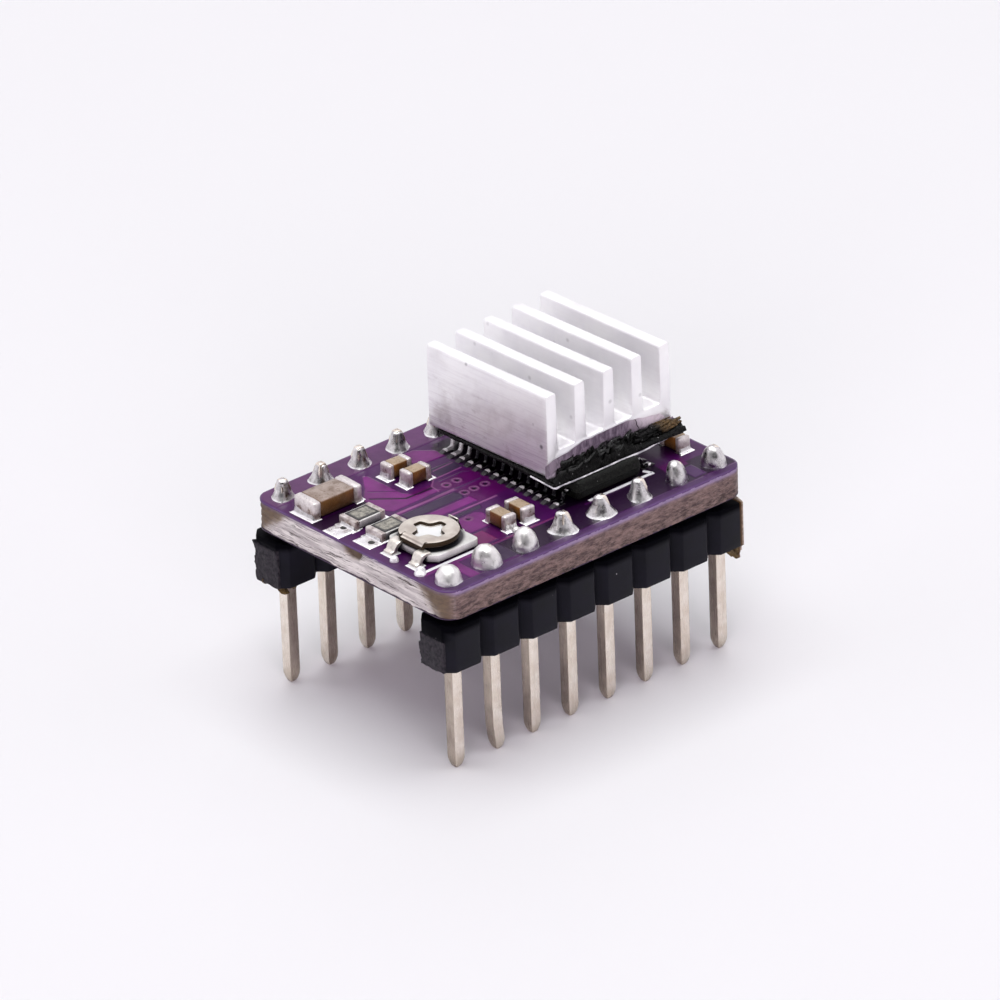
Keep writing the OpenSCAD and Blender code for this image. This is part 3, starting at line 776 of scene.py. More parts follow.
def paint_plain(name, colour, roughness, metal=0.0, other=None):
    """Hidden or tiny parts: two close tones broken up by noise, with a fine bump."""
    p = Paint(name, colour, roughness, metal)
    cloud = p.noise(3, 5, 0.6)
    second = other or tuple(c * 0.6 for c in colour)
    p.set("Base Color", p.blend(cloud, 0.35, 0.7, colour, second))
    p.rough(cloud, roughness * 0.8, min(1.0, roughness * 1.25))
    p.bump(p.noise(8, 4), 0.01, 0.5)
    return p.material


MASK = paint_mask()
LAMINATE = paint_laminate()
PLASTIC = paint_plastic()
PIN = paint_pin()
SOLDER = paint_solder()
END_METAL = paint_end_cap()
LEAD = paint_lead()
STRAP = paint_tin("strap_plate", (0.82, 0.77, 0.71), 0.38)
MOULD = paint_mould()
TAPE = paint_tape("adhesive", 0.14)
CURLS = paint_tape("adhesive_glossy", 0.45)
LINER = paint_film()
SINK = paint_sink()
CAPACITOR = paint_capacitor()
CERAMIC = paint_ceramic()
GLAZE = paint_glaze()
ROTOR = paint_rotor()
INK = paint_plain("legend_ink", (0.9, 0.9, 0.92), 0.5, 0.0, (0.75, 0.73, 0.8))
BRIGHT_TIN = paint_plain("bright_tin", (0.78, 0.77, 0.79), 0.34, 0.5, (0.95, 0.95, 0.97))
COPPER = paint_plain("copper", (0.75, 0.4, 0.22), 0.35, 1.0)
# painted shade: the lacquer under the board is made almost black
UNDER_MASK = paint_plain("lacquer_under", (0.035, 0.012, 0.045), 0.3, 0.0, (0.02, 0.005, 0.03))
# painted shade: the solder under the chip's leads is made near black
SHADED_LEAD_SOLDER = paint_plain("lead_solder_shaded", (0.03, 0.028, 0.032), 0.3, 0.5, (0.1, 0.095, 0.1))
SILICON = paint_plain("silicon", (0.25, 0.26, 0.3), 0.2, 0.6)
WIRE = paint_plain("bond_wire", (0.9, 0.68, 0.3), 0.25, 1.0)
TRACK = paint_plain("resistive_ink", (0.012, 0.012, 0.012), 0.4)
WIPER = paint_plain("wiper_spring", (0.72, 0.6, 0.36), 0.3, 1.0)
CAD_PAINTS = {
    "copper_top": COPPER, "copper_bottom": COPPER, "plated_holes": COPPER, "mask_bottom": UNDER_MASK,
    "chip_paddle": COPPER, "chip_die": SILICON, "chip_die_bond": SOLDER, "chip_wires": WIRE,
    "chip_solder": SHADED_LEAD_SOLDER, "trim_track": TRACK, "trim_wiper": WIPER,
}
for node_name, node_paint in CAD_PAINTS.items():
    mesh = frame["nodes"][node_name].data
    mesh.materials.clear()
    mesh.materials.append(node_paint)


# ---- board ----

def board_outline(step=0.12):
    """Points round the board with their outward directions, counter-clockwise from the +X side."""
    r = BOARD_CORNER
    half = BOARD_HALF - Vector((r, r))
    samples = []
    corners = [(1, 1, 0), (-1, 1, 90), (-1, -1, 180), (1, -1, 270)]
    for sx, sy, start in corners:
        centre = Vector((sx * half.x, sy * half.y))
        for i in range(9):
            angle = math.radians(start + 90 * i / 8)
            out = Vector((math.cos(angle), math.sin(angle)))
            samples.append((centre + out * r, out))
    result = []
    for i, (p, out) in enumerate(samples):
        result.append((p, out))
        q = samples[(i + 1) % len(samples)][0]
        gap = (q - p).length
        if gap > 2 * step:
            count = int(gap / step)
            for k in range(1, count):
                result.append((p.lerp(q, k / count), out))
    return result


# Middle along y and reach of the half hole that a tool left in the snapped edge
BITE_Y = -0.18
BITE_REACH = 0.7


def build_board_core():
    """The laminate: snapped along its -X edge, where half a tool hole shows, and cut elsewhere."""
    layers_up = 15
    rings, stain, mauve, rim = [], [], [], []
    low, high = BOARD_LOW + 0.02, TOP - 0.04
    for k in range(layers_up):
        z = low + (high - low) * k / (layers_up - 1)
        up = k / (layers_up - 1)
        ring = []
        for p, out in board_outline():
            snapped = smooth_step(0.3, 0.9, -out.x)
            place = Vector((p.x, p.y, z))
            layers = noise.noise(Vector((p.x * 0.7, p.y * 0.7, z * 7)))
            chips = noise.noise(place * 2.3 + Vector((4, 1, 2)))
            fine = noise.noise(place * 6 + Vector((1, 7, 2)))
            depth = snapped * (0.07 * layers + 0.06 * chips) + 0.025 * fine + (1 - snapped) * 0.03 * chips
            reach = math.hypot((p.y - BITE_Y) * 0.95, z - TOP) + 0.1 * chips
            bite = snapped * smooth_step(BITE_REACH + 0.08, BITE_REACH - 0.1, reach)
            away = out * (depth - 0.05 * snapped - 0.22 * bite)
            ring.append(Vector((p.x + away.x, p.y + away.y, z)))
            ragged = 0.25 * chips
            tail = smooth_step(5.2, 6.4, p.y + ragged + (up - 0.5) * 2.2) * snapped
            head = smooth_step(-5.2, -6.6, p.y + ragged - (up - 0.5) * 1.6) * snapped
            turn = smooth_step(0.35, 0.8, abs(out.x)) * smooth_step(0.35, 0.8, abs(out.y))
            stain.append(min(1.0, max(tail, head) + 0.9 * turn) + bite)
            mauve.append(smooth_step(0.6, 0.95, abs(out.y)) + smooth_step(0.6, 0.95, out.x))
            burnt = smooth_step(0.3, 0.9, bite)
            # rim: share of the painted lilac highlight along the top of the edge
            rim.append(smooth_step(high - 0.3, high - 0.05, z) * (0.75 - 0.5 * snapped) * (1 - burnt))
        rings.append(ring)
    add_piece("board_edge", loft(rings), LAMINATE, ["board_core"], sharp=50,
              values={"stain": stain, "mauve": mauve, "rim": rim})


# ---- lacquer ----

# Tones of the lacquer, as seen through it: raised copper is paler, bare laminate darker; the dark and black
# areas by and under the chip are painted shade
TONES = {
    "mid": (0.075, 0.004, 0.1), "light": (0.22, 0.02, 0.21), "slate": (0.045, 0.024, 0.065),
    "line": (0.33, 0.1, 0.29), "dark": (0.012, 0.0002, 0.018), "magenta": (0.1, 0.001, 0.1),
    "dusk": (0.07, 0.018, 0.105), "rose": (0.22, 0.02, 0.14), "violet": (0.13, 0.035, 0.14),
    "black": (0.002, 0.0, 0.003)
}
RAISED = ("light", "line", "slate", "rose", "dusk", "violet")


def lacquer_features():
    """Areas and lines of the top layer: (tone, points, width); a width of zero fills the outline."""
    chip_x = LEADS_LOW.x
    edge = -BOARD_HALF.y
    return [
        ("violet", [(-9.9, 5.7), (2, 5.7), (2, 7.5), (-9.9, 7.5)], 0),
        # painted shade: a dark strip along the chip's -X row of leads
        ("dark", [(0.2, 5.4), (1.3, 5.4), (1.3, -6.3), (0.2, -5.3)], 0),
        ("dark", [(-9.9, 2.2), (-6.6, 2.2), (-6.2, 3.2), (-9.9, 3.1)], 0),
        ("magenta", [(-4.1, 2.1), (chip_x, 2.2), (chip_x, -1.0), (-2.3, -1.0), (-2.3, 1.0), (-4.1, 1.6)], 0),
        ("light", [(-6.3, 3.2), (-5.4, 4.1), (-4.6, 5.2), (-4.4, 5.0), (-4.4, 2.4), (-3.9, 1.7),
                   (-2.95, 1.65), (-2.75, 1.3), (-5.95, 1.2), (-6.3, 1.6)], 0),
        ("dark", [(-5.95, 3.05), (-4.6, 1.83), (-2.9, 1.8)], 0.15),
        ("mid", [(-5.5, 3.7), (-4.35, 2.72)], 0.1),
        ("light", [(-2.3, 5.6), (-0.9, 5.6), (0.3, 4.4), (0.3, 4.0), (-1.6, 4.1), (-2.0, 4.8)], 0),
        ("slate", [(-1.75, 3.4), (-0.3, 3.3), (-0.25, 2.5), (-1.9, 2.4)], 0),
        ("line", [(-1.7, 3.1), (-0.4, 3.15)], 0.07),
        ("line", [(-2.95, 1.25), (-2.85, 1.9), (-2.3, 2.4), (-0.4, 2.45)], 0.07),
        ("dusk", [(-2.2, 2.0), (-0.6, 2.05), (-0.4, 1.85)], 0.08),
        ("line", [(-6.0, 0.86), (-2.2, 0.86)], 0.19),
        ("dusk", [(-2.2, 0.86), (-0.5, 0.86)], 0.12),
        ("slate", [(-6.0, 0.62), (-2.5, 0.62), (-2.3, 0.25), (-2.5, -0.12), (-6.0, -0.12)], 0),
        ("light", [(-4.9, -0.24), (-2.2, -0.24), (-2.2, -0.84), (-4.9, -0.84)], 0),
        ("line", [(-4.4, -1.14), (-1.2, -1.14)], 0.13),
        ("slate", [(-4.4, -1.3), (-2.4, -1.3), (-2.6, -1.62), (-4.4, -1.62)], 0),
        ("light", [(-4.9, -1.78), (-3.2, -1.74), (-2.9, -2.0), (-3.1, -3.3), (-5.2, -3.3)], 0),
        ("rose", [(-5.3, -3.5), (-4.2, -3.5), (-4.2, -4.7), (-5.3, -4.7)], 0),
        ("magenta", [(-4.2, -3.5), (-3.6, -3.5), (-3.6, -4.8), (-4.2, -4.8)], 0),
        ("rose", [(-5.2, -4.98), (-0.5, -4.98)], 0.1),
        ("dark", [(-4.6, -5.1), (9.9, -5.1), (9.9, -6.9), (-4.6, -6.9)], 0),
        ("dusk", [(-9.9, -6.9), (9.9, -7.0), (9.9, edge), (-9.9, edge)], 0),
        ("slate", [(-6.0, -5.1), (-4.6, -5.1), (-4.6, -6.7), (-5.6, -6.7)], 0),
        ("light", [(-7.9, -5.2), (-7.3, -5.2), (-7.3, -6.9), (-7.9, -6.9)], 0),
        ("light", [(-9.5, -4.9), (-5.4, -4.9), (-5.6, -5.2), (-9.5, -5.2)], 0),
        ("dark", [(-0.6, -5.2), (0.5, -5.2), (0.6, -6.6), (-0.3, -6.7)], 0),
        ("dark", [(2.0, -5.2), (3.0, -5.2), (3.0, -6.6), (2.2, -6.7)], 0),
        ("dark", [(4.6, -5.2), (5.5, -5.2), (5.5, -6.6), (4.8, -6.7)], 0),
        ("magenta", [(6.2, -4.6), (8.2, -4.6), (8.0, -5.4), (6.6, -5.4)], 0),
        ("dusk", [(7.2, -5.6), (8.0, -5.6), (8.0, -6.8), (7.2, -6.8)], 0),
        # painted shade: dark and black lacquer round and under the chip, where the chip and heat sink shade
        # it
        ("dark", [(chip_x - 0.2, 5.2), (6.6, 5.2), (6.6, -5.2), (chip_x - 0.2, -4.9)], 0),
        ("black", [(chip_x + 0.05, 4.8), (6.6, 5.0), (6.6, -4.9), (chip_x + 0.05, -4.7)], 0)
    ]


VIAS = [(-2.2, 1.5), (-1.48, 1.52), (-2.08, 0.24), (-1.45, 0.24), (-0.72, 0.24), (-3.9, -2.1)]


def share_inside(x, y, outline, soft):
    """How far inside a closed outline each place lies, from 0 to 1 across a soft edge."""
    inside = np.zeros(x.shape, bool)
    nearest = np.full(x.shape, 99.0)
    for (ax, ay), (bx, by) in zip(outline, outline[1:] + outline[:1]):
        crosses = (ay > y) != (by > y)
        with np.errstate(divide="ignore", invalid="ignore"):
            at = (bx - ax) * (y - ay) / (by - ay) + ax
        inside ^= crosses & (x < at)
        nearest = np.minimum(nearest, distance_to(x, y, (ax, ay), (bx, by)))
    signed = np.where(inside, nearest, -nearest)
    return np.clip(signed / soft + 0.5, 0, 1)


def distance_to(x, y, a, b):
    """Distance from each place to the straight line between a and b."""
    ax, ay = a
    dx, dy = b[0] - ax, b[1] - ay
    t = np.clip(((x - ax) * dx + (y - ay) * dy) / (dx * dx + dy * dy + 1e-12), 0, 1)
    return np.hypot(x - ax - t * dx, y - ay - t * dy)


def lacquer_layout(x, y):
    """Tone and height of the lacquer at each place."""
    tone = np.empty((*x.shape, 3))
    tone[:] = TONES["mid"]
    height = np.zeros(x.shape)
    soft = 0.07
    for name, points, width in lacquer_features():
        if width:
            away = np.full(x.shape, 99.0)
            for a, b in zip(points, points[1:]):
                away = np.minimum(away, distance_to(x, y, a, b))
            share = np.clip((width / 2 - away) / soft + 0.5, 0, 1)
        else:
            share = share_inside(x, y, points, soft)
        tone += share[..., None] * (np.array(TONES[name]) - tone)
        height += share * ((1.0 if name in RAISED else 0.0) - height)
    for cx, cy in VIAS:
        away = np.hypot(x - cx, y - cy)
        ring = np.clip((0.06 - np.abs(away - 0.22)) / 0.05 + 0.5, 0, 1)
        well = np.clip((0.11 - away) / 0.06 + 0.5, 0, 1)
        tone += ring[..., None] * (np.array(TONES["line"]) * 0.75 - tone)
        tone += well[..., None] * (np.array(TONES["dark"]) - tone)
        height += ring * (1.3 - height) - well * (height + 0.3)
    return tone, height


def build_mask():
    """Lacquered top of the board, raised over the copper beneath it and rounded off at the edges."""
    nx, ny = 480, 360
    core = BOARD_HALF.y - BOARD_CORNER
    across = np.linspace(-1, 1, nx + 1)
    down = np.linspace(-1, 1, ny + 1) * BOARD_HALF.y
    past = np.maximum(0.0, np.abs(down) - core)
    reach = BOARD_HALF.x - BOARD_CORNER + np.sqrt(np.maximum(0.0, BOARD_CORNER ** 2 - past ** 2))
    x = across[None, :] * reach[:, None]
    y = np.repeat(down[:, None], nx + 1, axis=1)
    tone, height = lacquer_layout(x, y)
    margin = np.minimum(reach[:, None] - np.abs(x), BOARD_HALF.y - np.abs(y))
    points = []
    for j in range(ny + 1):
        for i in range(nx + 1):
            soft = noise.noise(Vector((x[j, i] * 0.6, y[j, i] * 0.6, 3.1))) * 0.006
            edge = smooth_step(0.12, 0.0, margin[j, i]) * 0.03
            points.append(Vector((x[j, i], y[j, i], TOP + 0.004 + 0.026 * height[j, i] + soft - edge)))
    on_top = len(points)
    solid = closed_grid(points, nx, ny, TOP - 0.08)
    # painted highlight: paler lilac along the rounded edge of the lacquer, and on its sides below
    edge_highlight = np.clip((0.14 - margin) / 0.1, 0, 1)[..., None]
    tone += edge_highlight * (np.array((0.12, 0.06, 0.18)) - tone)
    colours = np.ones((len(solid[0]), 4), np.float32)
    colours[:on_top, :3] = tone.reshape(-1, 3)
    colours[on_top:, :3] = (0.13, 0.06, 0.19)
    obj = add_piece("lacquer_top", solid, MASK, ["mask_top"], sharp=60)
    layer = obj.data.attributes.new("tone", "FLOAT_COLOR", "POINT")
    layer.data.foreach_set("color", colours.ravel())


def ribbon(start, end, width, seed):
    """Thin printed line with slightly uneven edges."""
    start, end = Vector(start), Vector(end)
    along = (end - start).normalized()
    across = Vector((-along.y, along.x)) * width / 2
    outline = []
    count = 24
    for side in (-1, 1):
        order = range(count + 1) if side < 0 else reversed(range(count + 1))
        for i in order:
            p = start.lerp(end, i / count)
            jitter = 1 + 0.12 * noise.noise(Vector((i * 0.9, side * 3.0, seed)))
            outline.append(p + across * side * jitter)
    return prism(outline, TOP - 0.005, TOP + 0.05, 0.01)


def build_legend():
    """White printed lines beside the trimmer and at the end of the chip."""
    shape = Shape()
    beside = BASE_LOW.y - 0.2
    shape.add(ribbon((BASE_LOW.x - 0.9, beside), (BASE_HIGH.x + 0.35, beside), 0.2, 1))
    y = CHIP_LOW.y - 0.16
    shape.add(ribbon((CHIP_LOW.x + 0.6, y), (CHIP_HIGH.x + 0.55, y), 0.18, 2))
    shape.add(ribbon((CHIP_HIGH.x + 0.5, y + 0.02), (CHIP_HIGH.x + 0.3, y + 0.5), 0.18, 3))
    add_piece("legend_lines", shape, INK, ["legend_top"])


# ---- header ----

def plastic_outline(y, short):
    """Plan of a header strip: a row of octagons that share their narrow necks, cut short at +X."""
    half = (PLASTIC_HIGH.y - PLASTIC_LOW.y) / 2
    cut = 0.47
    low, high = [], []
    for x in PIN_X:
        left, right = x - PITCH / 2, x + PITCH / 2
        low += [(left, y + cut - half), (left + cut, y - half), (right - cut, y - half)]
        high += [(left + cut, y + half), (right - cut, y + half), (right, y + half - cut)]
    end = PIN_X[-1] + PITCH / 2 - short
    start = PIN_X[0] - PITCH / 2
    outline = low + [(end, y + cut - half)] + high[::-1] + [(start, y + half - cut)]
    return rounded(outline, 0.05, 2)


def torn_end(x, y, out, seed, top, proud):
    """Rough skin where a strip was snapped from a longer one."""
    half = (PLASTIC_HIGH.y - PLASTIC_LOW.y) / 2
    solid = soft_block((x - 0.1, y - half + 0.36, -0.02), (x + 0.1, y + half - 0.36, top), 0.05, 18)

    def tear(p):
        fine = noise.noise(Vector((seed, p.y * 7, p.z * 7)))
        rough = noise.noise(Vector((seed, p.y * 2.2, p.z * 2.2))) + 0.6 * fine
        side = smooth_step(0, 0.1, (p.x - x) * out)
        return p + Vector((out * side * (proud + 0.06 * rough), 0.12 * rough * side, 0.12 * rough))

    return changed(solid, tear)


# Torn slivers on the strips: root from the torn end and the middle of the row, steps along the
# sliver, seed and width; those of the front strip hang at its +X end, those of the rear one at -X
FLAKES = {
    "front": [
        ((-1.0, -1.0, 0.1), [(0.12, 0.02, -0.3), (0.3, 0, -0.3), (0.3, 0, 0.05)], 3, 0.4),
        ((-0.35, -0.9, 0.2), [(-0.05, 0, -0.4), (0.0, 0, -0.4), (0.12, 0, -0.2)], 7, 0.5),
        ((-0.1, -0.8, 0.1), [(0.02, 0, -0.3), (0.05, 0, -0.3)], 8, 0.3),
        ((-0.02, -0.74, 0.3), [(-0.02, 0, 0.6), (0.0, 0, 0.6), (-0.02, 0, 0.5)], 9, 0.17)
    ],
    "rear": [
        ((0.3, -0.75, 0.15), [(0.05, 0.05, -0.25), (0.05, -0.15, -0.2), (0.1, -0.1, -0.1)], 11, 0.42),
        ((0.1, 0.55, 0.4), [(-0.02, 0, 0.45), (0.0, 0, 0.5), (0.02, 0, 0.4)], 13, 0.18),
        ((0.2, 0.3, 0.2), [(0.0, 0.05, -0.2), (0.05, 0, -0.15)], 14, 0.4),
        ((0.75, -1.05, 0.12), [(0.1, 0, -0.2), (0.05, 0, -0.1)], 15, 0.3)
    ]
}


def flake(root, steps, seed, width):
    """Thin torn sliver of plastic that follows a few steps from its root."""
    rings = []
    p = Vector(root)
    for i, step in enumerate(steps + [(0, 0, 0)]):
        size = width * (1 - 0.75 * i / (len(steps) + 1))
        ring = []
        for k in range(6):
            angle = math.pi * k / 3
            reach = size * (0.8 + 0.4 * noise.noise(Vector((seed + i + 0.3, k * 1.3, 0.2))))
            across, along = math.cos(angle) * reach, math.sin(angle) * reach * 0.5
            ring.append(p + Vector((across, along, 0.03 * math.sin(k + i))))
        rings.append(ring)
        p = p + Vector(step)
    return loft(rings)


def build_header(row):
    """One black strip of the header, its snapped ends and the slivers left on them."""
    y = ROWS[row]
    short = STRIP_SHORT[row]
    top = STRIP_TORN_TOP[row]
    solid = prism(plastic_outline(y, short), PLASTIC_LOW.z, PLASTIC_HIGH.z, 0.05, 8)

    def settle(p):
        return p + wobble(p, 0.5, 0.015, y)

    shape = Shape().add(changed(solid, settle))
    whole = len(shape.points)
    near, far = PIN_X[0] - PITCH / 2, PIN_X[-1] + PITCH / 2 - short
    shape.add(torn_end(near + 0.06, y, -1, 1.0 + y, top, 0.02))
    shape.add(torn_end(far - 0.12, y, 1, 5.0 + y, 2.2, 0.0))
    brown_from = len(shape.points)
    end = far if row == "front" else near
    for (dx, dy, z), steps, seed, width in FLAKES[row]:
        shape.add(flake((end + dx, y + dy, z), steps, seed, width))
    count = len(shape.points)
    torn = [0.0] * whole + [1.0] * (count - whole)
    brown = [0.0] * brown_from + [1.0] * (count - brown_from)
    # deep: painted shade that blackens the recess above the torn -X end, under the board
    deep = [smooth_step(near + 0.3, near + 0.1, p.x) * smooth_step(top - 0.1, top + 0.15, p.z)
            for p in shape.points]
    add_piece(f"header_strip_{row}", shape, PLASTIC, [f"header_plastic_{row}"],
              values={"torn": torn, "brown": brown, "deep": deep})


def pin_ring(x, y, z, side, corner):
    """Cross-section of a square pin with slightly rounded corners."""
    half = side / 2
    ring = []
    for start in (0, 90, 180, 270):
        centre = Vector((half - corner, half - corner))
        for i in range(3):
            angle = math.radians(45 * i)
            p = centre + Vector((math.cos(angle), math.sin(angle))) * corner
            turn = math.radians(start)
            ring.append(Vector((x + p.x * math.cos(turn) - p.y * math.sin(turn),
                                y + p.x * math.sin(turn) + p.y * math.cos(turn), z)))
    return ring


def build_pins(row):
    """Eight pins: drawn square wire, both ends tapered; one is cropped short, one tip is askew."""
    shape = Shape()
    y = ROWS[row]
    low, high = PINS_LOW.z, PINS_HIGH.z
    levels = [(low, 0.42), (low + 0.05, 0.56), (low + 0.2, 0.76), (low + 0.45, 0.95), (low + 0.7, 1.0)]
    levels += [(z, 1.0) for z in np.linspace(low + 1.4, high - 0.9, 9)]
    levels += [(high - 0.5, 0.98), (high - 0.2, 0.75), (high - 0.04, 0.58), (high, 0.45)]
    for i, x in enumerate(PIN_X):
        rings = []
        cropped = 0.28 if (row, i) == ("front", 0) else 0.0
        for z, share in levels:
            z -= cropped * smooth_step(high - 1.0, high, z)
            lean = 0.16 * smooth_step(low + 2.0, low, z) if (row, i) == ("front", 1) else 0.0
            sway = 0.02 * noise.noise(Vector((i * 3.1 + y, z * 0.3, 0)))
            corner = 0.07 + (1 - share) * 0.16
            side = PIN_SIDE * share
            rings.append(pin_ring(x + lean + sway, y + sway, z, side, side * min(corner, 0.4)))
        shape.add(loft(rings))
    add_piece(f"pins_{row}_shown", shape, PIN, [f"pins_{row}"], sharp=50)


def solder_joint(x, y, seed, kind, radius, height, lean, lobes):
    """One hand-made joint round a pin's end: a smooth dome, or a cone drawn up to the pin's tip."""
    chance = random.Random(seed)
    phase = chance.uniform(0, 6.28)
    profile = []
    if kind == "dome":
        for i in range(15):
            angle = math.pi / 2 * i / 14
            profile.append((radius * math.cos(angle) ** 0.85, height * math.sin(angle) ** 1.05))
        profile[0] = (radius * 1.04, 0.0)
    else:
        top = 0.3
        side = height - 0.12
        for i in range(13):
            t = i / 12
            hollow = 0.035 * math.sin(math.pi * t)
            profile.append((radius + (top - radius) * t + 0.05 * (1 - t) ** 6 - hollow, side * t))
        for i in range(1, 8):
            angle = math.pi / 2 * i / 7
            profile.append((top * math.cos(angle), side + 0.2 * math.sin(angle)))
    profile[-1] = (0.02, profile[-1][1])

    def shape_it(angle, share, p):
        keep = (1 - share) ** 0.7
        out = 1 + lobes * math.cos(2 * angle + phase) * keep
        out += lobes * 0.7 * math.cos(3 * angle - phase) * keep
        around = Vector((math.cos(angle) * 1.5, math.sin(angle) * 1.5, share * 2.2 + seed))
        out += 0.08 * noise.noise(around) + 0.03 * noise.noise(around * 3)
        return Vector((p.x * out + lean[0] * share, p.y * out + lean[1] * share, p.z))

    return lathe(profile, (x, y, TOP - 0.012), 36, shape_it)


# Kind, foot radius, height, lean along x and y, and lobe size of each joint, from the trimmer end
JOINTS = {
    "front": [
        ("dome", 0.7, 0.86, -0.04, 0.0, 0.02), ("dome", 0.74, 1.1, -0.16, 0.05, 0.06),
        ("dome", 0.66, 1.1, -0.05, 0.05, 0.04), ("cone", 0.7, 1.0, -0.12, 0.08, 0.08),
        ("cone", 0.74, 1.0, -0.12, 0.05, 0.03), ("cone", 0.64, 1.0, -0.14, 0.05, 0.06),
        ("dome", 0.58, 1.14, -0.14, 0.05, 0.06), ("dome", 0.62, 1.08, -0.1, 0.0, 0.05)
    ],
    "rear": [
        ("cone", 0.6, 1.0, -0.02, 0.0, 0.06), ("cone", 0.62, 0.95, 0.0, 0.0, 0.09),
        ("cone", 0.6, 0.98, 0.0, 0.0, 0.04), ("cone", 0.62, 0.98, -0.02, 0.0, 0.05),
        ("cone", 0.62, 0.95, 0.0, 0.0, 0.05), ("cone", 0.64, 0.95, 0.0, 0.0, 0.05),
        ("cone", 0.62, 0.9, 0.0, 0.0, 0.06), ("dome", 0.64, 1.08, 0.0, 0.0, 0.05)
    ],
}


def build_joints(row):
    """Joints of one row on top, and the small collars of solder under the board."""
    shape = Shape()
    y = ROWS[row]
    collar = [(0.1, -0.14), (0.55, -0.14), (0.74, -0.05), (0.8, 0.02), (0.5, 0.05)]
    for i, (kind, radius, height, lean_x, lean_y, lobes) in enumerate(JOINTS[row]):
        seed = i + (20 if row == "rear" else 0)
        shape.add(solder_joint(PIN_X[i], y, seed, kind, radius, height, (lean_x, lean_y), lobes))
        shape.add(lathe(collar, (PIN_X[i], y, BOARD_LOW), 20))
    add_piece(f"joints_{row}", shape, SOLDER, [f"pin_solder_{row}"], sharp=70)


# ---- chip, tape and heat sink ----

LEAD_COUNT = 14
LEAD_WIDTH = 0.24
LEAD_THICK = 0.15
LEAD_PITCH = (LEADS_HIGH.y - LEADS_LOW.y - LEAD_WIDTH) / (LEAD_COUNT - 1)


def build_chip():
    """Moulded body with drafted sides and a parting line at the leads."""
    low, high = CHIP_LOW, CHIP_HIGH
    levels = [
        (low.z, 0.2), (low.z + 0.05, 0.1), (low.z + 0.12, 0.07), (SHOULDER - 0.02, 0.01), (SHOULDER, -0.01),
        (SHOULDER + 0.02, 0.01), (high.z - 0.2, 0.06), (high.z - 0.12, 0.1), (high.z - 0.05, 0.17),
        (high.z, 0.28)
    ]
    outline = rounded([(low.x, low.y), (high.x, low.y), (high.x, high.y), (low.x, high.y)], 0.32, 6)
    rings = []
    for z, reach in levels:
        rings.append([Vector((p.x, p.y, z)) for p in inset(outline, reach)])
    add_piece("chip_mould", loft(rings), MOULD, ["chip_body"])


def lead_path():
    """Centre line of one gull-wing lead, from toe to body, as (distance from chip middle, height)."""
    toe = (LEADS_HIGH.x - LEADS_LOW.x) / 2
    foot = LEADS_LOW.z + LEAD_THICK / 2
    return [
        (toe, foot), (toe - 0.15, foot - 0.005), (toe - 0.42, foot), (toe - 0.52, foot + 0.05),
        (toe - 0.58, foot + 0.15), (toe - 0.62, SHOULDER - 0.14), (toe - 0.67, SHOULDER - 0.04),
        (toe - 0.76, SHOULDER), (toe - 0.95, SHOULDER), (toe - 1.1, SHOULDER)
    ]


def swept_lead(x_sign, y):
    """One lead: a flat section with soft corners carried along the centre line."""
    path = [Vector(p) for p in lead_path()]
    half_w, half_t, soft = LEAD_WIDTH / 2, LEAD_THICK / 2, 0.03
    lower = [(-half_w, soft - half_t), (soft - half_w, -half_t)]
    lower += [(half_w - soft, -half_t), (half_w, soft - half_t)]
    section = lower + [(-a, -b) for a, b in lower]
    rings = []
    for i, p in enumerate(path):
        ahead = path[min(i + 1, len(path) - 1)] - path[max(i - 1, 0)]
        ahead.normalize()
        up = Vector((ahead.y, -ahead.x))
        ring = []
        for a, b in section:
            q = p + up * b
            ring.append(Vector((CHIP_MIDDLE.x + x_sign * q.x, y + a, q.y)))
        rings.append(ring)
    return loft(rings)


def build_leads():
    """Both rows of gull-wing leads."""
    shape = Shape()
    first = LEADS_LOW.y + LEAD_WIDTH / 2
    for i in range(LEAD_COUNT):
        for x_sign in (-1, 1):
            shape.add(swept_lead(x_sign, first + i * LEAD_PITCH))
    add_piece("leads_bent", shape, LEAD, ["chip_leads"], sharp=50)


SINK_TURN = 1.8
SINK_FLOOR = 1.35
FIN_COUNT = 5
FIN = 0.72
SINK_MIDDLE = (SINK_LOW + SINK_HIGH) / 2


def sink_plan():
    """Width and length of the heat sink before its turn, worked out from its box."""
    size = SINK_HIGH - SINK_LOW
    turn = math.radians(SINK_TURN)
    c, s = math.cos(turn), math.sin(turn)
    return (size.x * c - size.y * s) / (c * c - s * s), (size.y * c - size.x * s) / (c * c - s * s)


SINK_WIDTH, SINK_LENGTH = sink_plan()


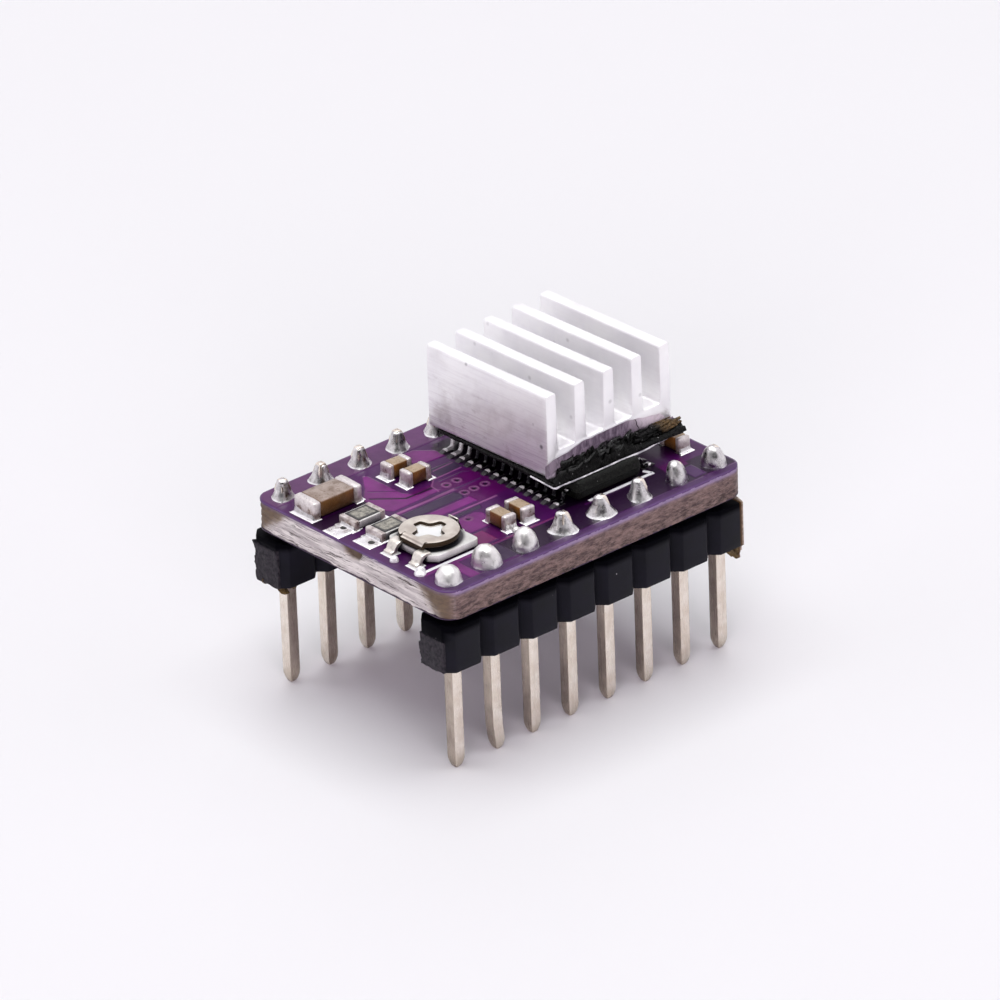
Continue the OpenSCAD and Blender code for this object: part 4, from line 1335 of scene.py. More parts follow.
def build_heatsink():
    """Extruded comb profile, sawn to length: rounded fin tops, soft roots, a few knocks."""
    left = -SINK_WIDTH / 2
    floor, height = SINK_FLOOR, SINK_HIGH.z - SINK_LOW.z
    step = (SINK_WIDTH - FIN) / (FIN_COUNT - 1)
    draft = 0.03
    outline = [(left, 0), (-left, 0)]
    for i in reversed(range(FIN_COUNT)):
        x = left + i * step
        outline += [(x + FIN, height), (x + draft, height)]
        if i:
            outline += [(x - draft, floor), (x + FIN - step + draft, floor)]
    soft = rounded(outline, 0.2, 5)
    stations = [0, 0.012, 0.05] + list(np.linspace(0.3, SINK_LENGTH - 0.3, 16))
    stations += [SINK_LENGTH - 0.05, SINK_LENGTH - 0.012, SINK_LENGTH]
    rings = []
    for t in stations:
        edge = min(t, SINK_LENGTH - t)
        reach = 0.045 if edge < 0.001 else 0.016 if edge < 0.02 else 0.0
        ring = []
        for p in (inset(soft, reach) if reach else soft):
            lift = smooth_step(floor, height, p.y)
            sway = 0.035 * lift * noise.noise(Vector((round((p.x - left) / step) * 2.7, t * 0.22, 1.0)))
            q = Vector((SINK_MIDDLE.x + p.x + sway, SINK_MIDDLE.y - SINK_LENGTH / 2 + t, SINK_LOW.z + p.y))
            ring.append(turned(q, SINK_TURN, SINK_MIDDLE))
        rings.append(ring)
    add_piece("heatsink_comb", loft(rings), SINK, ["heatsink"], sharp=40)


def build_tape():
    """Soft black tape under the heat sink, its edges pulled out of line."""
    solid = soft_block(TAPE_LOW, TAPE_HIGH, 0.08, 40)

    def pull(p):
        edge = min(p.x - TAPE_LOW.x, TAPE_HIGH.x - p.x, p.y - TAPE_LOW.y, TAPE_HIGH.y - p.y)
        near = smooth_step(1.2, 0.0, edge)
        shift = wobble(Vector((p.x, p.y, 0)), 1.3, 0.09 * near, 2.0)
        front = smooth_step(SINK_LOW.y + 0.2, TAPE_LOW.y, p.y)
        lift = 0.1 * front * noise.noise(Vector((p.x * 1.5, p.y * 1.5, 4)))
        return p + Vector((shift.x, shift.y, lift if p.z > TAPE_LOW.z + 0.1 else lift * 0.4))

    add_piece("tape_sheet", changed(solid, pull), TAPE, ["thermal_tape"])


def front_wall(x):
    """Where the sawn front of the heat sink stands, along y."""
    flat = Vector((x, SINK_MIDDLE.y - SINK_LENGTH / 2, 0))
    return turned(flat, SINK_TURN, Vector((SINK_MIDDLE.x, SINK_MIDDLE.y, 0))).y


def smear_point(s, t):
    """One place on the torn adhesive: s runs along it, t from the tape's edge over the ledge and up."""
    low, high = TAPE_LOW.x + 0.05, SINK_HIGH.x + 0.1
    x = low + (high - low) * s
    wall = front_wall(x)
    ledge = 0.45
    ropes = smooth_step(0.03, 0.16, s) * smooth_step(0.72, 0.42, s)
    if t < ledge:
        u = t / ledge
        y = TAPE_LOW.y - 0.04 + (wall - TAPE_LOW.y) * u
        mass = 0.03 + 0.3 * u ** 1.5
        lumps = abs(noise.noise(Vector((x * 1.1, y * 3.5, 1.0))))
        lumps += abs(noise.noise(Vector((x * 3.0, y * 5, 5.0)))) * 0.5
        piled = lumps * (0.25 + 0.75 * ropes) * smooth_step(0.0, 0.15, u)
        z = TAPE_HIGH.z + mass * (0.5 + 0.5 * ropes) + piled
        return Vector((x, y, z - 0.12 * smooth_step(0.1, 0.0, u)))
    u = (t - ledge) / (1 - ledge)
    start = TAPE_HIGH.z + 0.05 + 0.3 * (0.5 + 0.5 * ropes)
    climb = 0.8 + 0.2 * smooth_step(0.0, 0.1, s) + 0.25 * smooth_step(0.15, 0.32, s)
    climb += -0.4 * smooth_step(0.62, 0.9, s) - 0.5 * smooth_step(0.88, 0.97, s)
    climb += 0.06 * noise.noise(Vector((x * 1.7, 3.0, 0)))
    end = TAPE_HIGH.z + max(0.35, climb)
    swell = (1 - u) ** 2 * 0.3 * abs(noise.noise(Vector((x * 1.8, u * 3, 2.0)))) * ropes
    pleat = 0.02 * noise.noise(Vector((x * 6, u * 0.6, 8.0)))
    return Vector((x, wall - 0.04 - swell - abs(pleat), start + (end - start) * u))


def build_smear():
    """Torn adhesive squeezed out at the front: black ropes on the ledge, a thin skin up the metal."""
    nx, ny = 170, 40
    points, thin, pale = [], [], []
    for j in range(ny + 1):
        for i in range(nx + 1):
            s, t = i / nx, j / ny
            place = smear_point(s, t)
            points.append(place)
            ragged = 0.14 * noise.noise(place * 1.3) + 0.08 * noise.noise(place * 4)
            onset = 0.62 - 0.22 * smooth_step(0.45, 0.8, s) - 0.3 * smooth_step(0.13, 0.03, s)
            thin.append(smooth_step(onset - 0.06, onset + 0.08, t + ragged))
            high_up = smooth_step(0.5, 0.75, t + ragged)
            at_start = 0.15 * smooth_step(0.2, 0.05, s)
            pale.append(smooth_step(0.64, 0.86, s + 0.2 * (t - 0.7)) * high_up + at_start)
    count = len(points)
    inward = Vector((0, 0.03, -0.03))
    points += [p + inward for p in points]
    faces = grid_faces(nx, ny)
    faces += [tuple(count + i for i in reversed(face)) for face in faces]
    rim = grid_rim(nx, ny)
    for a, b in zip(rim, rim[1:] + rim[:1]):
        faces.append((b, a, count + a, count + b))
    add_piece("tape_smear", (points, faces), TAPE, sharp=80,
              values={"thin": thin + thin, "pale": pale + pale})


def torn_strand(start, reach, size, waviness, seed):
    """One rough strand of adhesive, thinning towards its end."""
    rings = []
    last = 8
    for k in range(last + 1):
        t = k / last
        place = start + reach * t + wobble(start + reach * t, 1.6, waviness, seed)
        width = size * (1 - 0.55 * t)
        ring = []
        for a in range(6):
            angle = math.pi * a / 3
            rough = 1 + 0.4 * noise.noise(Vector((seed, k * 0.8, a * 1.7)))
            out = Vector((0.3 * math.sin(angle), math.cos(angle), math.sin(angle)))
            ring.append(place + out * width * rough)
        rings.append(ring)
    return loft(rings)


def build_curls():
    """Curled crumbs of adhesive that stand up from the ledge in front of the heat sink."""
    shape = Shape()
    chance = random.Random(11)
    for i in range(46):
        share = chance.uniform(0.06, 0.66)
        base = smear_point(share, chance.uniform(0.08, 0.5))
        start = base + Vector((0, -0.04, -0.02))
        reach = Vector((chance.uniform(0.3, 0.8), chance.uniform(-0.12, 0.2), chance.uniform(0.0, 0.3)))
        shape.add(torn_strand(start, reach, chance.uniform(0.07, 0.15), 0.2, i + 30.0))
    add_piece("tape_curls", shape, CURLS, sharp=70)


def build_frayed_end():
    """Bundle of torn strands where the adhesive was pulled off past the heat sink's front corner."""
    shape = Shape()
    chance = random.Random(5)
    corner = Vector((SINK_HIGH.x - 0.85, front_wall(SINK_HIGH.x) - 0.35, TAPE_HIGH.z + 0.15))
    for i in range(60):
        x, y, z = chance.uniform(-2.3, -0.2), chance.uniform(-0.35, 0.15), chance.uniform(-0.1, 0.3)
        start = corner + Vector((x, y, z))
        reach = Vector((chance.uniform(0.8, 1.5), chance.uniform(-0.1, 0.1), chance.uniform(0.0, 0.12)))
        shape.add(torn_strand(start, reach, chance.uniform(0.05, 0.13), 0.1, i))
    tear = []
    for k in range(10):
        t = k / 9
        x = corner.x - 1.75 + 0.45 * t + 0.03 * math.sin(k * 1.7)
        tear.append(Vector((x, front_wall(x) - 0.09, TAPE_HIGH.z + 1.15 - 1.1 * t)))
    shape.add(liner_line(tear, 0.028, 0.03))
    frayed = [smooth_step(-0.3, 0.35, p.x + p.z - TAPE_HIGH.z - corner.x) for p in shape.points]
    add_piece("tape_frayed_end", shape, TAPE, sharp=70, values={"frayed": frayed})


def liner_line(points, thick, depth):
    """Thin bright strip that follows a line of points."""
    rings = []
    for i, p in enumerate(points):
        ahead = (points[min(i + 1, len(points) - 1)] - points[max(i - 1, 0)]).normalized()
        out = Vector((-ahead.y, ahead.x, 0)).normalized()
        size = thick * (1 + 0.5 * noise.noise(Vector((i * 0.21, thick * 40, 0))))
        rings.append([p - out * depth, p - UP * size, p + out * 0.03, p + UP * size])
    return loft(rings)


def build_liner():
    """Bright lower edge of the clear liner along the front of the tape, bent round its corner."""
    line = []
    right = TAPE_HIGH.x - 0.3
    for i in range(60):
        s = i / 59
        x = right - (right - TAPE_LOW.x - 0.1) * s
        sway = 0.05 * noise.noise(Vector((x * 0.8, 0, 3)))
        back = 0.25 * smooth_step(right - 2.4, right, x)
        line.append(Vector((x, TAPE_LOW.y - 0.07 + sway + back, TAPE_LOW.z + 0.03 + 0.5 * sway)))
    corner = line[-1]
    for i in range(1, 9):
        angle = math.pi / 2 * i / 8
        line.append(corner + Vector((-0.16 * math.sin(angle), 0.16 * (1 - math.cos(angle)), 0.02 * i / 8)))
    last = line[-1]
    for i in range(1, 20):
        line.append(last + Vector((-0.006 * i, 0.08 * i, 0.008 * i)))
    add_piece("tape_liner_edge", liner_line(line, 0.052, 0.08), LINER)


# ---- chip capacitors and resistors ----

def parts_of(node):
    """Boxes of the separate solids in a CAD node, in millimetres."""
    mesh = frame["nodes"][node].data
    parent = list(range(len(mesh.vertices)))

    def root(i):
        while parent[i] != i:
            parent[i] = parent[parent[i]]
            i = parent[i]
        return i

    seen = {}
    for vertex in mesh.vertices:
        key = tuple(round(c / MM, 4) for c in vertex.co)
        if key in seen:
            parent[root(vertex.index)] = root(seen[key])
        else:
            seen[key] = vertex.index
    for face in mesh.polygons:
        first = root(face.vertices[0])
        for other in face.vertices[1:]:
            parent[root(other)] = first
    groups = {}
    for vertex in mesh.vertices:
        groups.setdefault(root(vertex.index), []).append(vertex.co / MM)
    boxes = []
    for points in groups.values():
        low = Vector([min(p[a] for p in points) for a in range(3)])
        high = Vector([max(p[a] for p in points) for a in range(3)])
        boxes.append((low, high))
    return sorted(boxes, key=lambda b: (round(b[0].x, 3), round(b[0].y, 3)))


def bulged(solid, amount, seed):
    """A block with faintly domed sides and a hand-made unevenness."""
    points = solid[0]
    low = Vector([min(p[a] for p in points) for a in range(3)])
    high = Vector([max(p[a] for p in points) for a in range(3)])
    middle, half = (low + high) / 2, (high - low) / 2

    def swell(p):
        q = Vector([(p[a] - middle[a]) / half[a] for a in range(3)])
        out = Vector([q[a] * (1 - q[(a + 1) % 3] ** 2) * (1 - q[(a + 2) % 3] ** 2) for a in range(3)])
        return p + out * amount + wobble(p, 1.8, amount * 0.7, seed)

    return changed(solid, swell)


def build_blocks(name, node, paint, radius, bulge, grow, inner):
    """One soft block for each solid of a CAD node; each point keeps how near it is to its block's border."""
    shape = Shape()
    border = []
    for i, (low, high) in enumerate(parts_of(node)):
        reach = Vector((grow, grow, grow))
        solid = bulged(soft_block(low - reach, high + reach, radius, inner), bulge, i * 3.1)
        for p in solid[0]:
            edge = min(p.x - low.x, high.x - p.x, p.y - low.y, high.y - p.y)
            border.append(smooth_step(0.16, 0.1, edge))
        shape.add(solid)
    add_piece(name, shape, paint, [node], sharp=60, values={"border": border})


def end_faces(body_node, end_node):
    """For each end cap: its box and the direction it looks in, away from the part's body."""
    bodies = parts_of(body_node)
    found = []
    for low, high in parts_of(end_node):
        middle = (low + high) / 2
        body = min(bodies, key=lambda b: ((b[0] + b[1]) / 2 - middle).length)
        away = middle - (body[0] + body[1]) / 2
        if abs(away.x) > abs(away.y):
            out = Vector((math.copysign(1, away.x), 0, 0))
        else:
            out = Vector((0, math.copysign(1, away.y), 0))
        found.append((low, high, out))
    return found


def end_fillet(low, high, out, reach, share, seed):
    """Solder drawn up one end of a part, as a steep hollow slope down to its pad."""
    along_x = abs(out.x) > 0.5
    rise = (high.z - low.z) * share
    sign = out.x + out.y
    outer = high if sign > 0 else low
    face = outer.x if along_x else outer.y
    side_low, side_high = (low.y, high.y) if along_x else (low.x, high.x)
    near, far = face - sign * 0.1, face + sign * reach
    along = (min(near, far), max(near, far))
    across = (side_low - 0.02, side_high + 0.02)
    middle, half = (side_low + side_high) / 2, (side_high - side_low) / 2 + 0.02

    def height(x, y):
        d = ((x if along_x else y) - face) * sign
        w = abs((y if along_x else x) - middle) / half
        slope = 1.0 if d < 0 else max(0.0, 1 - d / reach) ** 2.6
        side = max(0.0, 1 - w ** 6) ** 0.5
        bumpy = 1 + 0.2 * noise.noise(Vector((x * 2.5, y * 2.5, seed)))
        return rise * slope * side * bumpy

    if along_x:
        return lump((along[0], across[0]), (along[1], across[1]), (18, 14), height, TOP - 0.01)
    return lump((across[0], along[0]), (across[1], along[1]), (14, 18), height, TOP - 0.01)


def tinned_pad(low, high, thick, seed, hole=None):
    """Flat tinned pad with soft edges, a faintly uneven face and, when it has one, a dark via."""

    def height(x, y):
        edge = min(x - low[0], high[0] - x, y - low[1], high[1] - y)
        swell = thick * smooth_step(0.0, 0.1, edge)
        uneven = 0.35 * thick * noise.noise(Vector((x * 2.1, y * 2.1, seed))) * smooth_step(0, 0.2, edge)
        well = smooth_step(0.1, 0.2, math.hypot(x - hole[0], y - hole[1])) if hole else 1.0
        return (swell + uneven) * well + 0.004

    return lump(low, high, (36, 32), height, TOP - 0.012)


def via_plug(x, y):
    """Flat dark disc in the well of a via in a tinned pad, painted shade standing for the hole."""
    return lathe([(0.05, 0.0), (0.23, 0.0), (0.23, 0.012), (0.05, 0.016)], (x, y, TOP + 0.03), 18)


# Node, name, paint, slot, edge radius, swell of the sides, growth and cells per side of each kind of block
BLOCKS = [
    ("cap_bulk_body", "bulk_capacitor", CAPACITOR, "cap_ceramic", 0.09, 0.03, 0.0, 4),
    ("cap_bulk_ends", "bulk_capacitor_ends", END_METAL, "end_metal", 0.13, 0.04, 0.0, 4),
    ("cap_small_bodies", "small_capacitors", CAPACITOR, "cap_ceramic", 0.06, 0.02, 0.0, 4),
    ("cap_small_ends", "small_capacitor_ends", END_METAL, "end_metal", 0.08, 0.03, 0.0, 4),
    ("resistor_bodies", "resistor_chips", CERAMIC, "alumina", 0.03, 0.005, 0.0, 4),
    ("resistor_films", "resistor_overcoats", GLAZE, "resistor_glaze", 0.012, 0.008, 0.004, 30),
    ("resistor_ends", "resistor_end_caps", END_METAL, "end_metal", 0.05, 0.01, 0.0, 4)
]
# Corners, thickness, seed and via of the two bare pads beside the snapped edge
PAD_EDGE = -BOARD_HALF.x + 0.1
BARE_PADS = [
    ((PAD_EDGE, 0.89), (-8.2, 2.2), 0.06, 1.0, (-8.95, 1.6)),
    ((PAD_EDGE + 0.35, -1.1), (-8.1, 0.3), 0.06, 2.0, (-9.02, -0.6))
]
# Place and radius of the beads of solder that run inwards from the front row's third joint
BRIDGE = [
    ((PIN_X[2] + 0.5, ROWS["front"] + 0.55), 0.3), ((PIN_X[2] + 0.62, -5.42), 0.24),
    ((PIN_X[2] + 0.68, -5.12), 0.22), ((PIN_X[2] + 0.72, -4.8), 0.26)
]


def end_solder(end, reach, share, number):
    """Fillet at one end of a part and the tinned pad it stands on, as two solids."""
    low, high, out = end
    side = Vector((0, 1, 0)) if abs(out.x) > 0.5 else Vector((1, 0, 0))
    beside, ahead = side * 0.12, out * (reach + 0.1)
    corners = [low - beside, high + beside, low + ahead, high + ahead]
    inside = BOARD_HALF.x - 0.08
    pad_low = (max(min(p.x for p in corners), -inside), min(p.y for p in corners))
    pad_high = (min(max(p.x for p in corners), inside), max(p.y for p in corners))
    return [end_fillet(low, high, out, reach, share, number * 2.3),
            tinned_pad(pad_low, pad_high, 0.05, number * 1.7)]


def build_part_solder():
    """Solder at the ends of the chip parts, their pads, the bare pads and the bridge."""
    ends = [(e, 0.16, 0.5) for e in end_faces("cap_bulk_body", "cap_bulk_ends")]
    ends += [(e, 0.2, 0.5) for e in end_faces("cap_small_bodies", "cap_small_ends")]
    ends += [(e, 0.18, 0.55) for e in end_faces("resistor_bodies", "resistor_ends")]
    shape = Shape()
    for i, (end, reach, share) in enumerate(ends):
        for solid in end_solder(end, reach, share, i):
            shape.add(solid)
    for pad in BARE_PADS:
        shape.add(tinned_pad(*pad))
    for i, (place, radius) in enumerate(BRIDGE):
        shape.add(solder_blob(place, radius, 0.3, i + 5.0))
    add_piece("part_solder_shown", shape, SOLDER, ["part_solder"], sharp=70)


def build_small_parts():
    """Capacitors and resistors with their ends, solder and tinned pads."""
    for node, name, paint, slot, radius, bulge, grow, inner in BLOCKS:
        build_blocks(name, node, paint, radius, bulge, grow, inner)
    build_part_solder()
    # painted shade: dark discs where the bare pads' vias are
    wells = Shape()
    for pad in BARE_PADS:
        wells.add(via_plug(*pad[-1]))
    add_piece("pad_via_wells", wells, TRACK)


# ---- trimmer ----

def circle(radius, count, start=0.0, end=360.0):
    """Points on a circle or an arc, in degrees; the last one falls a step short of end."""
    points = []
    for i in range(count):
        angle = math.radians(start + (end - start) * i / count)
        points.append(Vector((math.cos(angle), math.sin(angle))) * radius)
    return points


# Plan of the stop's flange about the joint, then the plate, its slot and the cup under it
STOP_Y = 1.02
FLANGE_Y = 0.6
FLANGE_X = 1.18
PLATE_THICK = 0.28
SLOT_DEPTH = 0.22
CUP_RADIUS = 1.08


def rotor_outline():
    """Plan of the flat plate about the joint: round, cut back where the stop's flange is folded down."""
    from_angle = -math.degrees(math.pi - math.asin(STOP_Y / ROTOR_RADIUS))
    to_angle = math.degrees(math.acos(-STOP_REACH / ROTOR_RADIUS))
    points = circle(ROTOR_RADIUS, 34, from_angle, to_angle)
    points.append(Vector((-STOP_REACH, math.sqrt(ROTOR_RADIUS ** 2 - STOP_REACH ** 2))))
    points += [Vector((-STOP_REACH, FLANGE_Y)), Vector((-FLANGE_X, FLANGE_Y)), Vector((-FLANGE_X, -STOP_Y))]
    return rounded(points, 0.04, 2)


def cross_outline(reach, half, core):
    """A plus-shaped slot that widens towards its middle, counter-clockwise."""
    quarter = [(reach, -half), (reach, half), (core, core)]
    points, radii = [], []
    for turn in range(4):
        c, s = round(math.cos(turn * math.pi / 2)), round(math.sin(turn * math.pi / 2))
        points += [Vector((x * c - y * s, x * s + y * c)) for x, y in quarter]
        radii += [0.1, 0.1, 0.22]
    return rounded(points, radii, 4)


def laid_down(p):
    """Turns a side view, drawn in x and y and raised along z, into place."""
    return Vector((p.x, -p.z, p.y))


def stop_flange(top, thick):
    """The plate's edge towards -X, folded down a little to meet the end stop."""
    line = [(-FLANGE_X + 0.12, 0.0), (-FLANGE_X, 0.0), (-FLANGE_X - 0.06, -0.03), (-FLANGE_X - 0.12, -0.12),
            (-STOP_REACH, -0.16)]
    upper = [(x, top + z) for x, z in line]
    lower = [(x, top + z - thick) for x, z in reversed(line)]
    solid = prism(rounded(lower + upper, 0.02, 2)[::-1], -FLANGE_Y, STOP_Y, 0.03)
    return changed(solid, laid_down)


def plate_with_hole(outer, inner, z, up):
    """Flat face between two outlines, as (points, faces)."""
    work = bmesh.new()
    loops = []
    for outline in (outer, inner):
        verts = [work.verts.new((p.x, p.y, z)) for p in outline]
        for i in range(len(verts)):
            work.edges.new((verts[i], verts[(i + 1) % len(verts)]))
        loops.append(verts)
    bmesh.ops.triangle_fill(work, use_beauty=True, use_dissolve=False, edges=work.edges[:],
                            normal=UP if up else -UP)
    work.verts.index_update()
    points = [v.co.copy() for v in work.verts]
    faces = [tuple(v.index for v in f.verts) for f in work.faces]
    work.free()
    return points, faces


def ring_at(outline, z):
    return [Vector((p.x, p.y, z)) for p in outline]


def edge_band(outline, levels):
    """Open skin that follows an outline through (inset, height) levels."""
    return loft([ring_at(inset(outline, reach) if reach else outline, z) for reach, z in levels], caps=False)


def disc(outline, z, up):
    """One flat face inside an outline."""
    order = range(len(outline))
    return ring_at(outline, z), [tuple(order) if up else tuple(reversed(order))]


def build_rotor():
    """Stamped rotor: a plate with a cross slot over a shallow cup that reaches down to the spring."""
    top, low = ROTOR_HIGH.z, ROTOR_LOW.z
    plate = top - PLATE_THICK
    floor = top - SLOT_DEPTH
    soft = 0.05
    outer = rotor_outline()
    slot = cross_outline(0.95, 0.23, 0.38)
    cup = circle(CUP_RADIUS, 40)
    rim = [(soft, top), (0.3 * soft, top - 0.3 * soft), (0, top - soft)]
    shape = Shape()
    shape.add(plate_with_hole(inset(outer, soft), inset(slot, -soft), top, True))
    shape.add(edge_band(outer, rim + [(0, plate + 0.02), (0.02, plate)]))
    shape.add(edge_band(slot, [(-reach, z) for reach, z in rim] + [(0, floor + 0.03), (0.03, floor)]))
    upper = len(shape.points)
    shape.add(plate_with_hole(inset(outer, 0.02), cup, plate, False))
    shape.add(edge_band(cup, [(0, plate), (0, low + 0.03), (0.03, low)]))
    shape.add(disc(inset(cup, 0.03), low, False))
    under = len(shape.points)
    shape.add(edge_band(slot, [(0.03, floor), (0.07, floor)]))
    shape.add(disc(inset(slot, 0.07), floor, True))
    shown = len(shape.points)
    shape.add(stop_flange(top - 0.004, PLATE_THICK - 0.03))
    centre = Vector((JOINT_AT.x, JOINT_AT.y, 0))
    shape.points = [p + centre for p in shape.points]
    flange = len(shape.points) - shown
    # painted shade on the underside and cup, painted highlight on the slot's floor
    cup_shade = [0.0] * upper + [1.0] * (under - upper) + [0.0] * (shown - under + flange)
    slot_highlight = [0.0] * under + [1.0] * (shown - under) + [0.0] * flange
    obj = add_piece("rotor_shown", shape, ROTOR, ["trim_rotor"], "trimmer_rotor", sharp=40,
                    values={"cup_shade": cup_shade, "slot_highlight": slot_highlight})
    work = bmesh.new()
    work.from_mesh(obj.data)
    bmesh.ops.remove_doubles(work, verts=work.verts, dist=0.00001)
    bmesh.ops.recalc_face_normals(work, faces=work.faces)
    work.to_mesh(obj.data)
    work.free()


def strap_outline(high, foot_reach, foot_z, top_reach):
    """Side view of a folded strap: over the ceramic's rim, down at a slant, out along the board."""
    t = 0.13
    points = [
        (-top_reach, high - t), (0.04, high - t), (0.26, high - 0.3), (0.36, foot_z), (foot_reach, foot_z),
        (foot_reach, foot_z + t), (0.52, foot_z + t + 0.03), (0.46, high - 0.26), (0.3, high - 0.05),
        (0.12, high), (-top_reach, high)
    ]
    return rounded(points, 0.06, 4)


def strap(edge_x, y, width, high):
    """One folded strap over the base's edge at edge_x, its foot pointing towards -X."""
    outline = strap_outline(high, 0.72, TOP + 0.015, 0.24)
    solid = prism(outline, -width / 2, width / 2, 0.03, 4)

    def flare(p):
        spread = 1 - 0.12 * smooth_step(0.1, 0.6, p.x)
        return Vector((edge_x - p.x, y + p.z * spread, p.y)) + wobble(p, 2.0, 0.02, y)

    return changed(solid, flare)


def wiper_lug():
    """Lug of the wiper's strap: stands against the base, its head chamfered, its foot on the board."""
    low, high = WIPER_STRAP_LOW, WIPER_STRAP_HIGH
    wall = BASE_HIGH.x + 0.02
    side = [(wall, low.z), (high.x, low.z), (high.x, low.z + 0.12), (wall + 0.17, low.z + 0.14),
            (wall + 0.16, high.z - 0.1), (wall + 0.08, high.z), (wall, high.z)]
    solid = prism(rounded(side, 0.04, 3), -high.y, -low.y, 0.05)
    return changed(solid, laid_down)


def solder_blob(place, radius, height, seed):
    """Small bright bead of solder."""
    profile = [(radius * math.cos(a), height * math.sin(a)) for a in np.linspace(0, 1.55, 10)]

    def bumpy(angle, share, p):
        return p * (1 + 0.18 * noise.noise(Vector((math.cos(angle), math.sin(angle), seed * 2.1))))

    return lathe(profile, (place[0], place[1], TOP - 0.01), 24, bumpy)


def trimmer_base():
    """Ceramic block with one corner of its plan cut off wide and the others narrow."""
    low, high = BASE_LOW, BASE_HIGH
    cut, small = 0.42, 0.15
    outline = [
        (low.x, low.y + cut), (low.x + cut, low.y), (high.x - small, low.y), (high.x, low.y + small),
        (high.x, high.y - small), (high.x - small, high.y), (low.x + small, high.y), (low.x, high.y - small)
    ]
    return prism(rounded(outline, 0.08, 3), low.z, high.z, 0.05, 2)


def trimmer_solder(strap_y):
    """Beads and pads of solder at the feet of the three straps."""
    left, right = BASE_LOW.x, BASE_HIGH.x
    lower_y, upper_y = strap_y
    beads = [
        (left - 0.94, upper_y - 0.8, 0.24, 0.3), (left - 0.92, lower_y - 0.86, 0.34, 0.24),
        (left - 0.7, lower_y - 0.6, 0.26, 0.22), (right + 0.35, WIPER_STRAP_LOW.y + 0.3, 0.3, 0.12)
    ]
    shape = Shape()
    for i, (x, y, radius, height) in enumerate(beads):
        shape.add(solder_blob((x, y), radius, height, i))
    for y, seed in ((upper_y, 7.0), (lower_y, 8.0)):
        shape.add(tinned_pad((left - 0.95, y - 0.45), (left - 0.1, y + 0.4), 0.04, seed))
    return shape


def build_trimmer():
    """Ceramic base, straps, rivet and the solder on the straps' feet; the rotor is built apart."""
    add_piece("trimmer_ceramic", trimmer_base(), CERAMIC, ["trim_base"])
    width = WIPER_STRAP_HIGH.y - WIPER_STRAP_LOW.y
    strap_y = (STRAPS_LOW.y + width / 2, STRAPS_HIGH.y - width / 2)
    straps = Shape()
    for y in strap_y:
        straps.add(strap(BASE_LOW.x, y, width, STRAPS_HIGH.z))
    add_piece("trimmer_end_straps", straps, STRAP, ["trim_end_straps"])
    add_piece("trimmer_wiper_lug", wiper_lug(), STRAP, ["trim_wiper_strap"])
    head = [(0.2, 0.0), (0.25, 0.04), (0.25, 0.5), (0.36, 0.56), (0.37, 0.59), (0.33, 0.62), (0.15, 0.63),
            (0.02, 0.6)]
    rivet = lathe(head, (JOINT_AT.x, JOINT_AT.y, TOP + 0.08), 28)
    add_piece("trimmer_rivet", rivet, CERAMIC, ["trim_rivet"])
    add_piece("trimmer_solder", trimmer_solder(strap_y), BRIGHT_TIN, sharp=70)


# ---- stage, light, camera ----

def build_stage():
    """Pale floor that runs up into nothing: one large plane with a faint lilac cast."""
    size = 4.0
    floor_z = PINS_LOW.z * MM
    mesh = bpy.data.meshes.new("floor")
    corners = [(-size, -size, floor_z), (size, -size, floor_z), (size, size, floor_z), (-size, size, floor_z)]
    mesh.from_pydata(corners, [], [(0, 1, 2, 3)])
    floor = bpy.data.objects.new("floor", mesh)
    bpy.context.scene.collection.objects.link(floor)
    p = Paint("floor_paper", (0.86, 0.85, 0.89), 0.6)
    cloud = p.noise(0.02, 3)
    p.set("Base Color", p.blend(cloud, 0.3, 0.7, (0.862, 0.85, 0.885), (0.87, 0.86, 0.893)))
    p.set("Specular IOR Level", 0.2)
    mesh.materials.append(p.material)


def add_light(name, place, size, power, colour, mirrored=True):
    """Soft box aimed at the part; one that is not mirrored lights it without showing up in the metal."""
    data = bpy.data.lights.new(name, "AREA")
    data.shape = "RECTANGLE"
    data.size, data.size_y = size
    data.energy = power
    data.color = colour
    light = bpy.data.objects.new(name, data)
    light.location = place
    light.rotation_mode = "QUATERNION"
    light.rotation_quaternion = (-Vector(place)).to_track_quat("-Z", "Y")
    light.visible_glossy = mirrored
    bpy.context.scene.collection.objects.link(light)


CAMERA_AZIMUTH = math.radians(-40.39)
CAMERA_ELEVATION = math.radians(27.32)
TOWARDS_CAMERA = Vector((math.sin(CAMERA_AZIMUTH) * math.cos(CAMERA_ELEVATION),
                         -math.cos(CAMERA_AZIMUTH) * math.cos(CAMERA_ELEVATION), math.sin(CAMERA_ELEVATION)))


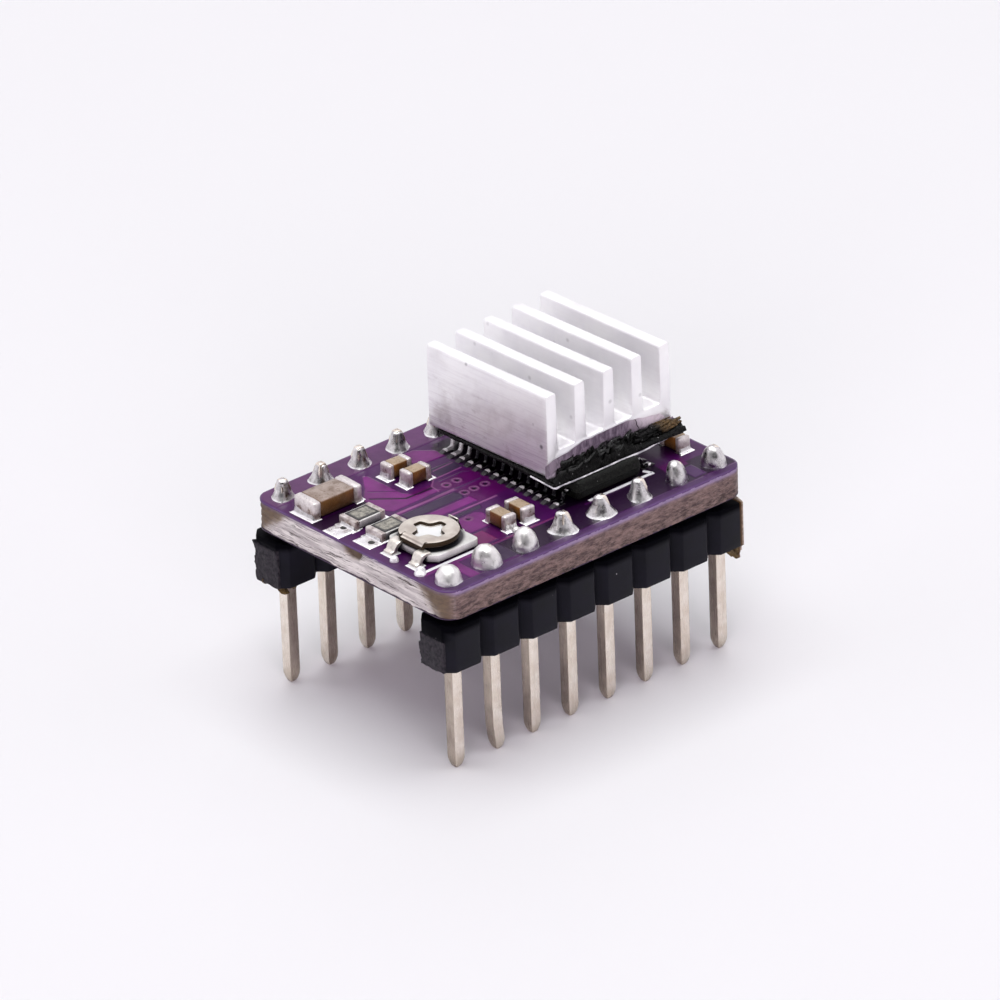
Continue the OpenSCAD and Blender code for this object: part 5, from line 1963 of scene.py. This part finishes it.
def build_world():
    """White room all round, with the dark shape of the camera and whoever holds it."""
    world = bpy.data.worlds.new("studio")
    bpy.context.scene.world = world
    world.use_nodes = True
    tree = world.node_tree
    back = tree.nodes["Background"]
    ray = tree.nodes.new("ShaderNodeTexCoord").outputs["Generated"]
    dot = tree.nodes.new("ShaderNodeVectorMath")
    dot.operation = "DOT_PRODUCT"
    tree.links.new(ray, dot.inputs[0])
    dot.inputs[1].default_value = (TOWARDS_CAMERA - UP * 0.3).normalized()
    shade = tree.nodes.new("ShaderNodeMapRange")
    shade.interpolation_type = "SMOOTHSTEP"
    tree.links.new(dot.outputs["Value"], shade.inputs["Value"])
    limits = {"From Min": 0.35, "From Max": 0.95, "To Min": 1.0, "To Max": 0.08}
    for key, number in limits.items():
        shade.inputs[key].default_value = number
    tree.links.new(shade.outputs["Result"], back.inputs["Strength"])
    back.inputs["Color"].default_value = (0.98, 0.95, 1.0, 1)
    world.cycles_visibility.diffuse = False


def build_lights():
    """A soft box overhead, a low fill from the camera's side and weak light from the other walls."""
    build_world()
    add_light("top", (0.0, 0.03, 1.4), (1.45, 1.45), 19.7, (0.97, 1, 0.972))
    forward = Vector((TOWARDS_CAMERA.x, TOWARDS_CAMERA.y, 0)).normalized()
    across = Vector((-forward.y, forward.x, 0))
    add_light("front_fill", forward * 1.4 + UP * 0.48, (1.4, 0.66), 16.2, (1, 0.88, 0.97), False)
    walls = [("left_wall", -across, 2.5), ("right_wall", across, 2.4), ("back_wall", -forward, 2.0)]
    for name, way, power in walls:
        add_light(name, way * 1.25 + UP * 0.75, (1.25, 0.88), power, (0.99, 0.91, 1), False)


def build_camera():
    """The viewpoint: nearly level with the board's diagonal, long lens, slight roll."""
    roll = math.radians(2.18)
    distance = 0.50035
    aim = Vector((0.0007, 0.0008, 0.0028))
    back = TOWARDS_CAMERA
    data = bpy.data.cameras.new("photo_camera")
    data.sensor_width = 36.0
    data.lens = 356.1
    data.clip_start, data.clip_end = 0.01, 20.0
    camera = bpy.data.objects.new("photo_camera", data)
    camera.location = aim + back * distance
    camera.rotation_mode = "QUATERNION"
    camera.rotation_quaternion = (-back).to_track_quat("-Z", "Y") @ Quaternion((0, 0, 1), -roll)
    bpy.context.scene.collection.objects.link(camera)
    bpy.context.scene.camera = camera


build_board_core()
build_mask()
build_legend()
for row_name in ROWS:
    build_header(row_name)
    build_pins(row_name)
    build_joints(row_name)
build_chip()
build_leads()
build_heatsink()
build_tape()
build_smear()
build_curls()
build_frayed_end()
build_liner()
build_small_parts()
build_rotor()
build_trimmer()
build_stage()
build_lights()
build_camera()
bpy.context.scene.view_settings.view_transform = "Standard"
